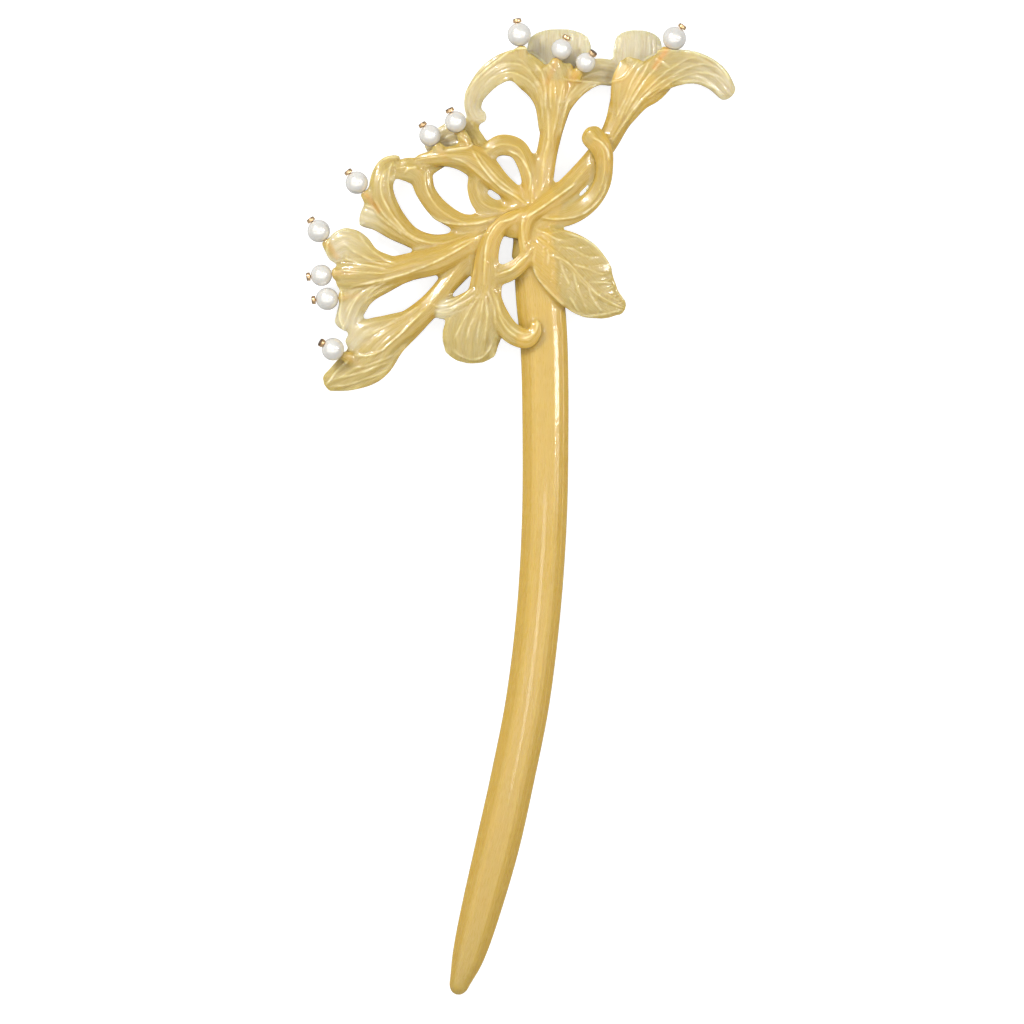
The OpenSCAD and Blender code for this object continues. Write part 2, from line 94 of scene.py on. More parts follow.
FLOWER_TOP = [
    ("throat", [
        [0.7, 0.4, 3.6, 1.7, 2, 0, 0], [1.8, 5.1, 3.7, 2.1, 1.9, 0, 0], [2.9, 10.2, 3.8, 1.8, 1.8, 0, 0],
        [3.8, 14.7, 4, 2, 1.7, 0, 0], [4.2, 18.2, 4.3, 2.8, 1.5, -0.4, 0],
        [4, 21.7, 4.8, 4.1, 1.2, -0.9, 0], [3.2, 24.7, 5.4, 4.4, 0.8, -1.2, 0],
    ], 0, 1),
    ("lip", [
        [2.8, 14.7, 4, 1.2, 1.3, 0, 0], [2.5, 19.7, 4.4, 1.9, 1.2, 0, 0], [0.5, 23.6, 4.9, 3, 1, 0.3, -8],
        [-3, 25.5, 5, 2.7, 0.8, 0.5, -12], [-6.6, 24.1, 4.4, 2.3, 0.7, 0.4, -12],
        [-9.3, 21.2, 3.4, 1.8, 0.7, 0.2, -6], [-10, 18.9, 2.5, 1.5, 0.7, 0, 0],
        [-9.4, 17.2, 2, 1.3, 0.7, 0, 0], [-8.1, 17.1, 2, 0.9, 0.7, 0, 0],
    ], 0.5, 0.5),
    ("lip", [
        [4.6, 14.7, 4, 1.2, 1.3, 0, 0], [5.4, 18.9, 4.2, 1.9, 1.2, 0, 0], [7.9, 22.6, 3.6, 2.4, 1, 0.3, 8],
        [11.5, 24.7, 2.6, 2.4, 0.8, 0.4, 8], [14.8, 24.7, 1.9, 2.2, 0.7, 0.2, 0],
        [17, 24.9, 1.5, 1.9, 0.7, 0, 0],
    ], 0.5, 1),
    ("fan", [
        [4.2, 20.7, 2.6, 2.3, 0.9, 0, 0], [4.8, 24.2, 1.9, 4, 0.8, 0.3, 0],
        [5.1, 27.5, 1.5, 5.7, 0.7, 0.5, 0], [5.1, 30.1, 1.3, 5.5, 0.6, 0.5, 0],
    ], 0.5, 2.7),
]

FLOWER_RIGHT = [
    ("throat", [
        [-0.9, -7.2, 5.2, 0.9, 1.2, 0, 0], [-1, -3.7, 5.6, 1.1, 1.3, 0, 0],
        [-0.1, -0.7, 5.7, 1.3, 1.4, 0, 0], [2.7, 1.4, 5, 1.6, 1.5, 0, 0], [6.2, 4, 4.3, 1.9, 1.6, 0, 0],
        [9.5, 7.4, 3.7, 1.9, 1.6, 0, 0], [12, 10.4, 3.4, 1.9, 1.6, 0, 0], [13.7, 12.8, 3.4, 1.9, 1.6, 0, 0],
        [15.2, 15.7, 3.6, 2.1, 1.5, 0, 0], [16.8, 19.2, 4, 2.9, 1.4, -0.3, 0],
        [18.6, 22.2, 4.6, 4.1, 1.1, -0.8, 0], [20.3, 25, 5.2, 4.2, 0.8, -1.1, 0],
    ], 0.6, 1),
    ("fan", [
        [18, 19.5, 3.2, 2, 1, 0, 0], [18.7, 22.6, 2.5, 3, 0.9, 0.1, 0], [18.8, 25.8, 1.8, 4, 0.8, 0.3, 0],
        [18.9, 28.2, 1.4, 4.3, 0.7, 0.5, 0], [19, 30.2, 1.2, 4.1, 0.6, 0.5, 0],
    ], 0.5, 2.4),
    ("lip", [
        [16.5, 17.4, 4, 1.3, 1.3, 0, 0], [19.5, 21.6, 4.6, 2.3, 1.2, 0, 0],
        [22.5, 24.3, 4.9, 3.1, 1, 0.3, -6], [26.1, 25.4, 4.5, 3, 0.8, 0.5, -10],
        [29.7, 25.2, 3.8, 2.6, 0.7, 0.5, -10], [32.6, 23.7, 3, 2.3, 0.7, 0.3, -6],
        [34.6, 21.4, 2.2, 1.7, 0.7, 0, 0],
    ], 0.5, 1.2),
    ("stem", [
        [17, 16.2, 4, 0.9, 1.1, 0, 0], [19.3, 19.3, 4.2, 1.4, 1.2, 0, 0], [21.5, 21, 4.2, 1.7, 1.2, 0, 0],
        [23.5, 22.7, 4, 1.5, 1.1, 0, 0],
    ], 0.5, 0.7),
    ("stem", [
        [15.2, 16.7, 3.8, 1.1, 1.2, 0, 0], [15.4, 19.9, 4, 1.3, 1.2, 0, 0], [16.1, 23, 4.2, 1.8, 1, 0, 0],
        [17.5, 25.5, 4.4, 2.1, 0.8, 0, 0],
    ], 0.5, 0.9),
]

FLOWER_UPPER_LEFT = [
    ("throat", [
        [-0.4, 0.9, 3.7, 1.1, 1.6, 0, 0], [-2.5, 3, 3.9, 1.5, 1.6, 0, 0], [-5.5, 5.5, 4.1, 1.9, 1.6, 0, 0],
        [-8.1, 7.9, 4.3, 2.5, 1.6, -0.2, 0], [-10.6, 9.4, 4.6, 2.6, 1.4, -0.4, 0],
        [-13.6, 9.8, 4.8, 1.9, 1.2, -0.3, 0], [-16.6, 9.6, 4.6, 1.4, 1, 0, 0],
        [-19.4, 9.3, 4.2, 0.9, 0.8, 0, 0],
    ], 0, 0.5),
    ("lip", [
        [-8.1, 10.2, 3.2, 1.5, 1.1, 0, 0], [-9.9, 12.3, 2.6, 2.2, 0.9, 0.2, 0],
        [-12.1, 13.9, 2.1, 2.7, 0.8, 0.3, 0], [-14.9, 13.2, 1.8, 2.3, 0.7, 0.3, 0],
        [-17.5, 11.6, 1.5, 1.6, 0.7, 0.2, 0],
    ], 0.5, 0.8),
    ("stem", [
        [-9.3, 11.1, 3.1, 1.3, 1.1, 0, 0], [-10.3, 13.5, 2.5, 1.3, 0.9, 0, 0],
        [-10.2, 15.8, 2.1, 1.3, 0.8, 0, 0],
    ], 0.5, 0.5),
]

FLOWER_LEFT_UPPER = [
    ("throat", [
        [-3.6, -0.9, 3, 1.1, 1.5, 0, 0], [-7.6, -2.7, 3, 1.4, 1.5, 0, 0],
        [-12.1, -4.5, 3.1, 1.5, 1.5, 0, 0], [-16.6, -5.3, 3.3, 1.6, 1.5, 0, 0],
        [-20.7, -4.2, 3.6, 1.8, 1.4, 0, 0], [-23.8, -1.4, 4, 2.2, 1.3, -0.3, 0],
        [-25.7, 2.1, 4.4, 2.3, 1.1, -0.4, 0], [-26, 5.1, 4.5, 2.1, 0.9, -0.3, 0],
        [-24.9, 7.7, 4, 2.1, 0.8, 0, 0], [-22.9, 8.6, 3.2, 1.8, 0.7, 0, 0],
    ], 0, 0.7),
    ("lip", [
        [-20.2, -5, 3.3, 1.2, 1.2, 0, 0], [-23.4, -2.9, 3.7, 1.9, 1.2, 0, 0],
        [-26.2, -0.8, 3.9, 2.4, 1, -0.3, 0], [-28.4, 0.2, 3.8, 2.7, 0.8, -0.3, 0],
    ], 0.5, 1.2),
]

FLOWER_LEFT = [
    ("throat", [
        [-3.1, -1.2, 3, 1.1, 1.6, 0, 0], [-7.3, -3.5, 3.3, 1.5, 1.7, 0, 0],
        [-11.9, -6.2, 3.8, 2, 1.7, 0, 0], [-16.4, -8.3, 4.3, 2.4, 1.6, 0, 0],
        [-20.9, -9.4, 4.7, 2.4, 1.4, -0.2, 0], [-25.4, -10.6, 4.9, 2.8, 1.2, -0.5, 0],
        [-29.5, -10.8, 4.8, 3.1, 1, -0.6, 0], [-32.8, -10.9, 4.4, 2.8, 0.8, -0.5, 0],
    ], 0, 1.4),
    ("lip", [
        [-21.2, -9.3, 4, 1, 1.2, 0, 0], [-24.7, -8.7, 4.2, 1.3, 1.1, 0, 0],
        [-27.7, -7.9, 4.3, 1.8, 1, 0, 0], [-30.2, -6.5, 4.3, 2.9, 0.9, -0.3, 0],
        [-32.3, -5.7, 4.1, 3, 0.8, -0.4, 0], [-34.5, -6.8, 3.7, 2.2, 0.7, -0.3, 0],
    ], 0.5, 1.2),
    ("lip", [
        [-21.2, -10.4, 4, 1.2, 1.2, 0, 0], [-24.9, -12.2, 4.2, 1.5, 1.1, 0, 0],
        [-28.4, -13.8, 4.3, 1.9, 0.9, 0, 0], [-30.7, -15.8, 4.1, 2.4, 0.8, -0.3, 0],
        [-32.3, -19.3, 3.6, 2, 0.7, -0.2, 0],
    ], 0.5, 1.3),
]

FLOWER_LOWER_LEFT = [
    ("throat", [
        [-6.8, -3.9, 2.8, 1.5, 1.4, 0, 0], [-10.9, -8.1, 3, 2.2, 1.5, 0, 0],
        [-14.5, -12.4, 3.2, 1.8, 1.5, 0, 0], [-17.5, -16.1, 3.5, 2, 1.5, 0, 0],
        [-21.1, -19.4, 4, 2.5, 1.4, -0.3, 0], [-24.9, -22.3, 4.5, 3.3, 1.1, -0.6, 0],
        [-28.2, -25.8, 4.4, 4, 0.9, -0.6, 0], [-32, -28.1, 3.6, 3.1, 0.8, -0.3, 0],
        [-35.3, -29.6, 2.8, 1.7, 0.7, 0, 0],
    ], 0, 0.9),
    ("lip", [
        [-20.7, -18.2, 3.6, 1.3, 1.2, 0, 0], [-24.7, -19.7, 3.9, 1.9, 1.1, 0, 0],
        [-28.4, -21.2, 4, 2.5, 0.9, -0.2, 0], [-30.7, -23.4, 3.8, 2.1, 0.8, -0.2, 0],
    ], 0.5, 1),
]

FLOWER_BOTTOM = [
    ("throat", [
        [-0.5, -0.2, 5.1, 1.1, 1.3, 0, 0], [-3.7, -1.3, 5.5, 1.3, 1.4, 0, 0],
        [-6.3, -4, 5.5, 1.6, 1.5, 0, 0], [-7.5, -7.7, 5.1, 2, 1.5, 0, 0],
        [-7.6, -11.4, 4.8, 2.6, 1.5, 0, 0], [-8.1, -15, 4.9, 3.1, 1.3, -0.3, 0],
        [-9.3, -18.5, 5.1, 4.6, 1.1, -0.6, 0], [-10.2, -21.5, 4.9, 5.1, 0.9, -0.7, 0],
        [-10.4, -23.5, 4.5, 4.7, 0.8, -0.6, 0],
    ], 0.6, 3),
    ("lip", [
        [-7.6, -13, 4.8, 1.4, 1.2, 0, 0], [-10.4, -15.5, 4.8, 1.9, 1.1, 0, 0],
        [-13.4, -16.7, 4.5, 1.8, 0.9, -0.2, 0], [-15.7, -17, 4, 1.5, 0.8, 0, 0],
    ], 0.5, 1.2),
    ("stem", [
        [-6.5, -13.5, 4.8, 1.1, 1.2, 0, 0], [-5.6, -17, 5, 1.4, 1.2, 0, 0],
        [-3.7, -20.6, 5.5, 1.8, 1.1, 0, 0], [-0.8, -22.1, 6.1, 1.7, 1, 0, 0],
        [0.8, -21, 6.3, 1.2, 0.9, 0, 0], [1, -19.6, 6.3, 0.9, 0.9, 0, 0],
    ], 0.5, 0.7),
]

TENDRILS = [
    ("bud", [
        [0.9, -0.5, 4.2, 1.3, 1.5, 0, 0], [4.2, -0.9, 4.3, 1.7, 1.5, 0, 0],
        [7.6, -0.1, 4.4, 1.7, 1.4, 0, 0], [10.6, 2, 4.6, 1.6, 1.3, 0, 0], [12.5, 5, 5, 1.5, 1.3, 0, 0],
        [13, 8.4, 5.6, 1.5, 1.3, 0, 0], [12.4, 11.2, 6.2, 1.9, 1.4, 0, 0], [10.9, 13.1, 6.4, 2, 1.4, 0, 0],
    ], 0, 1.8),
    ("bud", [
        [0.3, 1.9, 4.4, 1, 1.4, 0, 0], [0, 5.1, 4.5, 1.3, 1.5, 0, 0], [-0.6, 8.2, 4.5, 1.5, 1.5, 0, 0],
        [-2.1, 11.1, 4.3, 1.7, 1.4, 0, 0], [-4.8, 11.9, 4.1, 1.8, 1.3, 0, 0],
        [-7.3, 10.9, 3.9, 1.5, 1.3, 0, 0],
    ], 0, 0.8),
    ("bud", [
        [-3.6, -0.5, 3.4, 1.3, 1.5, 0, 0], [-7.6, -1.4, 3.4, 1.4, 1.5, 0, 0],
        [-11.9, -1.6, 3.3, 1.5, 1.5, 0, 0], [-15.9, 0.7, 3.4, 1.7, 1.4, 0, 0],
        [-18.2, 3.7, 3.6, 1.7, 1.3, 0, 0], [-19.2, 6.5, 3.9, 2, 1.2, 0, 0],
        [-20.9, 7.5, 4.2, 2.2, 1, -0.2, 0], [-22.6, 7.6, 4, 1.8, 0.9, 0, 0],
    ], 0, 0.8),
    ("bud", [
        [-14.7, 9.3, 3.4, 0.8, 1, 0, 0], [-17, 8.5, 3.6, 1.4, 1.1, 0, 0], [-19.2, 7.6, 3.8, 1.9, 1.1, 0, 0],
    ], 0.5, 0.8),
    ("bud", [
        [-1.8, 0.2, 3.4, 1.1, 1.4, 0, 0], [-5.1, 0.5, 3.4, 1.4, 1.4, 0, 0],
        [-8.1, 1.6, 3.4, 1.7, 1.4, 0, 0], [-9.4, 4, 3.5, 1.5, 1.4, 0, 0], [-9.5, 6.6, 3.7, 1.2, 1.3, 0, 0],
    ], 0, 0.8),
    ("bud", [
        [0.3, -6.5, 5.2, 1, 1.2, 0, 0], [-1.8, -9.2, 5.2, 1.4, 1.3, 0, 0], [-4.3, -10.7, 5, 1.6, 1.3, 0, 0],
        [-6.5, -11.2, 4.8, 1.4, 1.2, 0, 0],
    ], 0.5, 0.5),
]

HUB = [
    ("hub", [
        [-5.2, -2, 3.6, 1.2, 1.6, 0, 0], [-3.2, -2.8, 4.6, 1.6, 1.5, 0, 0],
        [-1.4, -2.8, 4.5, 1.5, 1.5, 0, 0],
    ], 0.5, 0.5),
    ("hub", [
        [0.8, -1.4, 4.2, 2.2, 1.5, 0, 0], [1.3, -3.2, 4.4, 2.3, 1.5, 0, 0], [1.8, -5, 4.6, 2.2, 1.4, 0, 0],
    ], 0.5, 0.5),
    ("hub", [
        [-2, -2.6, 3, 1.1, 1.7, 0, 0], [-1.9, -4.8, 2.7, 1, 1.6, 0, 0], [-2.2, -7.6, 2.4, 1, 1.4, 0, 0],
    ], 0.5, 0.5),
    ("hub", [
        [-3.6, 0, 2.7, 3.2, 2.5, 0, 0], [0, 0, 2.9, 4.6, 2.8, 0, 0], [3.6, 0, 2.7, 3.2, 2.5, 0, 0],
    ], 1, 1),
]

MEMBERS = (SHAFT + LEAF + FLOWER_TOP + FLOWER_RIGHT + FLOWER_UPPER_LEFT + FLOWER_LEFT_UPPER + FLOWER_LEFT
           + FLOWER_LOWER_LEFT + FLOWER_BOTTOM + TENDRILS + HUB)

KINDS = ["shaft", "leaf", "throat", "lip", "fan", "stem", "bud", "hub", "peg"]

# Lines carved on the front: (kind, points), each point [x, y].
STROKES = [
    ("ridge", [[-11.4, 20.7], [-9.2, 23.6], [-6.4, 26], [-3.6, 28], [-1.2, 28.6], [0.9, 27.9], [2.6, 26.5],
        [4.1, 24.8]]),
    ("ridge", [[19.2, 25.7], [20.4, 27.2], [22.3, 28.1], [24.7, 28.3], [27.5, 28.2], [30.3, 27.4],
        [32.7, 26], [34.4, 24.3], [35.3, 22.4]]),
    ("ridge", [[14.4, 12.5], [16.4, 15.6], [18.3, 18.3], [20.6, 20.6], [23.2, 22.1]]),
    ("ridge", [[-1, -1.1], [0.9, 0], [2.9, 1.4], [5.4, 3.2], [8.1, 5.1]]),
    ("ridge", [[-14.7, 10.8], [-12.6, 11.1], [-10.6, 11.5], [-10, 12.4]]),
    ("ridge", [[-10, 10.8], [-8.8, 8.6], [-7.4, 6.7], [-5.4, 4.6], [-2.9, 3], [-1, 1.6]]),
    ("ridge", [[-4, 11], [-1.9, 9.8], [-0.5, 7.7], [0.1, 5.8], [-0.2, 3.7]]),
    ("ridge", [[13.5, 6.1], [12.8, 3.4], [10.7, 0.8], [8.1, -0.7], [5, -1.2], [2.2, -1.1]]),
    ("ridge", [[10.7, 12.9], [12.4, 12], [13.5, 10.5], [13.8, 8.6]]),
    ("ridge", [[-9.5, -4.6], [-11.7, -6], [-14.5, -7.6], [-17.3, -9], [-20.6, -10.3], [-23.4, -11.2],
        [-26.5, -12], [-29.9, -12.7], [-31.8, -13.2]]),
    ("ridge", [[-18.7, -17.2], [-21.5, -20.1], [-23.3, -21.9], [-24.9, -23.3], [-26.4, -24.4], [-28.5, -25],
        [-30.8, -24.9]]),
    ("ridge", [[-31.7, -25.8], [-33.1, -27], [-34.4, -28.3], [-35.1, -29.3], [-35.8, -30.2]]),
    ("ridge", [[-1.4, -0.1], [-3.3, -1.3], [-5.3, -1.9], [-6.7, -3.5], [-7.5, -5.3], [-7.8, -7.4],
        [-8, -10.5], [-8.1, -12.7]]),
    ("ridge", [[-1.1, -1], [-1.4, -2.4], [-1.3, -4.6], [-1, -6.8]]),
    ("ridge", [[-5, -10.6], [-3.3, -10], [-1.7, -8.5], [-0.1, -7.2]]),
    ("ridge", [[-18.4, 0.3], [-16.2, -1.1], [-13.4, -1.9], [-10.6, -2], [-8.4, -1.7], [-6.1, -1]]),
    ("ridge", [[0.5, -9.3], [1.4, -11.3], [2.9, -13.2], [4.6, -15], [6.3, -16.5]]),
    ("rim", [[-34.6, -4], [-35.4, -5.3], [-35.5, -6.8], [-34.8, -8.5], [-34, -10.3]]),
    ("rim", [[-33.2, -13], [-32.9, -14.9], [-33.2, -16.9], [-33.3, -18.1], [-32.8, -19.9], [-32, -21.1]]),
    ("rim", [[-34.6, -4], [-32.9, -3], [-31, -2.3], [-29, -1.8]]),
    ("rim", [[-27, 7.9], [-25.7, 9.3], [-24, 9.9], [-21.8, 9.8]]),
    ("rim", [[-19.8, 8], [-21.3, 7.6], [-22.1, 6.7]]),
    ("rim", [[-28.9, 1.4], [-28, 1], [-27.2, 0.6]]),
    ("rim", [[-13.7, -23.9], [-11.7, -25.2], [-9.5, -25.6], [-7.5, -24.5], [-6.4, -22.2]]),
    ("rim", [[-1.4, -22.2], [0.3, -21.5], [1.3, -20.1], [1.3, -18.8]]),
    ("rim", [[6.3, -3.6], [8.7, -4.4], [11, -5.7], [12.7, -7.6], [14.2, -9.9], [15.3, -12.5],
        [16.1, -15.1]]),
    ("rim", [[6.6, -16.7], [8.4, -17.6], [10.1, -18.1], [13.3, -17.7], [16.2, -17]]),
    ("rim", [[5, 23.7], [7.1, 23.1], [10.2, 23], [13.7, 22.9], [16.1, 23.3], [17.5, 24.5], [18.9, 26.5]]),
    ("rim", [[25.8, 23], [29.2, 23], [32, 22.1], [33.7, 20.3]]),
    ("fold", [[2.2, 16.5], [2, 20.7], [0.9, 23.4], [-1.2, 25.5], [-4, 26], [-6.8, 24.8], [-9.5, 22.6]]),
    ("fold", [[2, 17.9], [1.6, 21], [0.5, 23.8], [-0.9, 26], [-2.4, 26.9]]),
    ("fold", [[2.6, 17.9], [2.6, 21.4], [2, 24.3], [0.5, 26.5]]),
    ("fold", [[1.6, 19.3], [0.9, 21.7], [-0.9, 23.4], [-3.6, 24.4], [-6.4, 23.6], [-8.5, 21.7]]),
    ("fold", [[3.1, 17.9], [3.2, 15.1], [3.1, 12.4], [2.4, 9.6], [2, 6.1]]),
    ("fold", [[4.9, 20], [4.7, 16.5], [4.1, 13.7], [3.9, 11]]),
    ("fold", [[5.8, 22.6], [5.4, 21], [5, 18.6]]),
    ("fold", [[8.5, 22.4], [6.9, 20.3], [6, 17.2], [5.1, 13.1]]),
    ("fold", [[3.6, 22.7], [3.5, 20], [3.6, 17.9]]),
    ("fold", [[15, 16.5], [16.4, 19.3], [17.2, 21.4], [18, 23.4], [19.3, 25.6]]),
    ("fold", [[15.4, 15.8], [17.1, 19.3], [18.5, 21.9], [19.9, 24.4], [21.3, 26.9]]),
    ("fold", [[16.3, 16.5], [17.9, 19.6], [19.9, 22.6], [22, 25.2], [23.4, 27.2]]),
    ("fold", [[16.9, 16.7], [18.9, 19.7], [21.3, 22.3], [24, 24.7], [27, 26.5], [28.9, 27.2]]),
    ("fold", [[17.6, 16.9], [19.4, 19.4], [21.8, 21.8], [25.1, 24.1], [28.9, 25.8], [32, 25.7],
        [34.1, 24.4]]),
    ("fold", [[20.9, 20], [23.3, 21.8], [26.1, 23.5], [29.2, 24.5], [32.7, 24], [34.8, 22.2]]),
    ("fold", [[22, 26.9], [23.3, 25.9], [24.7, 25.2]]),
    ("fold", [[-9.2, 10.5], [-7.4, 7.9], [-5, 5.3], [-1.9, 3.2]]),
    ("fold", [[-14.4, 9.6], [-11.6, 8.8], [-8.8, 6.6], [-6.8, 4.9]]),
    ("fold", [[-12.3, 13.4], [-11.3, 12.4], [-10.6, 11.6]]),
    ("fold", [[-26.2, 3.5], [-25.1, 1.3], [-23.4, -1.3], [-21.2, -3.8], [-18.4, -5.1], [-16.2, -5.4]]),
    ("fold", [[-27.3, 2.5], [-25.7, -0.1], [-23.4, -2.4], [-21.2, -4.2], [-19, -5.3]]),
    ("fold", [[-25.4, 7.4], [-26.1, 5.4], [-25.8, 2.7], [-24.2, -0.1]]),
    ("fold", [[-23.9, 9.3], [-24.5, 7.7], [-24.8, 5.4], [-24.4, 2.9]]),
    ("fold", [[-27.9, 1.4], [-26.2, -0.8], [-23.7, -2.7], [-21.8, -4.2]]),
    ("fold", [[-17.9, 7.4], [-18.3, 6.6], [-18.1, 4.3], [-17, 1.8]]),
    ("fold", [[-24, -9.3], [-27.3, -8.5], [-30.4, -7], [-32.3, -5.7]]),
    ("fold", [[-24.5, -10], [-28.2, -9.3], [-31.1, -8.5], [-33.2, -7.5]]),
    ("fold", [[-25.4, -10.7], [-29.3, -10.4], [-32.6, -10.2]]),
    ("fold", [[-23.4, -8.9], [-26.2, -7.7], [-28.7, -5.4], [-30.1, -3.5]]),
    ("fold", [[-23.4, -11.3], [-27.1, -12.7], [-29.9, -14.6], [-31.5, -17.2], [-32, -19.5]]),
    ("fold", [[-26.8, -12.7], [-29.3, -14], [-31.2, -15.7], [-32.3, -17.4]]),
    ("fold", [[-25.1, -12.1], [-27.3, -13.5], [-29, -15.2]]),
    ("fold", [[-19.2, -16.2], [-22.4, -18.1], [-26, -20.3], [-29.2, -22]]),
    ("fold", [[-23.9, -24.9], [-26, -25.9], [-28.5, -26.8], [-31, -27.2]]),
    ("fold", [[-24.2, -26], [-26.9, -27], [-29.6, -28], [-32.2, -28.6], [-34, -28.9]]),
    ("fold", [[-24.9, -27.4], [-27.1, -28.5], [-29.2, -29.2], [-31.7, -30], [-34.6, -30.3]]),
    ("fold", [[-8.4, -14.1], [-10.6, -17.2], [-12.3, -20.2], [-13.3, -22.3]]),
    ("fold", [[-8.3, -14.1], [-9.5, -17.7], [-10.6, -20.1], [-11, -22.2]]),
    ("fold", [[-8.1, -14.1], [-8.6, -18.3], [-9.1, -20.9], [-9.2, -23]]),
    ("fold", [[-7.9, -14.1], [-7.5, -18], [-7.8, -21.1], [-7.9, -22.7]]),
    ("fold", [[-7.5, -13.8], [-6.3, -16.9], [-6.1, -19.9]]),
    ("fold", [[-17.3, -15.9], [-15.9, -16.5], [-13.9, -16.1], [-11.7, -14.7], [-9.8, -13]]),
    ("fold", [[-16.5, -17.3], [-14.5, -17.4], [-12.6, -16.5]]),
    ("fold", [[-6, -14.1], [-5.2, -17.2], [-3.8, -19.4], [-2.1, -20.9], [-0.4, -21.3], [0.8, -20.5]]),
    ("fold", [[-5.6, -18], [-3.9, -20.5], [-2, -22]]),
    ("fold", [[-13.9, -6.3], [-11.7, -5.2], [-9.2, -4.2], [-6.7, -3.5]]),
    ("fold", [[2.9, -7.3], [6.3, -8.7], [8.1, -10.5], [9.8, -12.3], [11.6, -14.2], [14.2, -15.7],
        [16.2, -16.8]]),
    ("fold", [[4.9, -6], [7.5, -6.5], [9.2, -7.4], [10.8, -8.2]]),
    ("fold", [[7.2, -9], [9.2, -9.6], [11.6, -10.5], [13.3, -11]]),
    ("fold", [[9.8, -12.3], [12.1, -12.2], [14.6, -12.4]]),
    ("fold", [[11.6, -14.2], [13.3, -14.3], [15.5, -15.5]]),
    ("fold", [[5.2, -8.4], [5.8, -10.5], [6.9, -12.8]]),
    ("fold", [[7.5, -10.2], [8.1, -12.8], [9.2, -15.4], [9.8, -17]]),
    ("fold", [[6.9, -14.8], [7.9, -16.4], [8.7, -17.4]]),
    ("fold", [[10.1, -12.8], [10.7, -14.8], [12.1, -16.8], [12.7, -17.4]]),
    ("fold", [[3, -6.5], [3.2, -7.4], [3, -9.3]]),
    ("fold", [[0.8, -2.9], [2.9, -3.8], [4.6, -4.7], [6.6, -5.2]]),
]

# How clearly each pin's wire shows through the horn.
WIRE_SHOWS = [0.1, 0.5, 0.6, 1, 0.2, 0.2, 0.6, 0.4, 0.3, 0.3, 0.2]

# Height and half width of each kind of line.
CUTS = {"ridge": (0.2, 0.21), "rim": (0.15, 0.2), "fold": (0.12, 0.2)}

# ---------------------------------------------------------------------------------------------------------
# Sweeping the members

RING_STEP = 0.25  # between two rings of a member
SIDES = 56  # points round a ring
DOMES = np.radians([78, 60, 42, 24])  # rings of a rounded end, from its tip inwards
GROWTH = 0.05  # added to each half width, for what the smoothing takes off
FILLET = 0.3  # radius of the fillets between members
COARSE_VOXEL = 0.2
VOXEL = 0.15
SOFTEN_PASSES = 8
LEVEL_PASSES = 140
FLOOR_GAP = 0.02  # lowest point of the horn above the floor
CARVING = 0.6  # share of the relief that is cut
MEMBER_SHIFT = 7.3  # sets each member's fibres apart from the next one's


def through(a, b, c, d, t):
    """The smooth curve through b and c, at share t of the way."""
    square = 2 * a - 5 * b + 4 * c - d
    cube = 3 * b - a - 3 * c + d
    return 0.5 * (2 * b + (c - a) * t + square * t * t + cube * t ** 3)


def smooth_line(stations):
    """Stations about RING_STEP apart along the smooth curve through the drawn ones."""
    s = np.array(stations, float)
    s = np.vstack([2 * s[0] - s[1], s, 2 * s[-1] - s[-2]])
    out = []
    for i in range(1, len(s) - 2):
        steps = max(2, int(round(np.linalg.norm(s[i + 1, :3] - s[i, :3]) / RING_STEP)))
        out += [through(s[i - 1], s[i], s[i + 1], s[i + 2], k / steps) for k in range(steps)]
    out.append(s[-2])
    return np.array(out)


def section(kind, a):
    """Across and up, each from -1 to 1, of a member's section at angle a."""
    c, s = np.cos(a), np.sin(a)
    if kind == "shaft":
        across = np.sign(c) * np.abs(c) ** 0.62
        up = np.sign(s) * np.abs(s) ** 0.62
        bevel = np.clip((np.abs(across) - 0.42) / 0.58, 0, 1)
        return across, up * np.where(s > 0, 1 - 0.5 * bevel, 1 - 0.3 * bevel)
    if kind in ("lip", "fan", "leaf"):
        return np.sign(c) * np.abs(c) ** 0.8, np.sign(s) * np.abs(s) ** 0.7
    roof = 1 - 0.25 * np.abs(c)
    return np.sign(c) * np.abs(c) ** 0.85, np.sign(s) * np.abs(s) ** 0.75 * roof


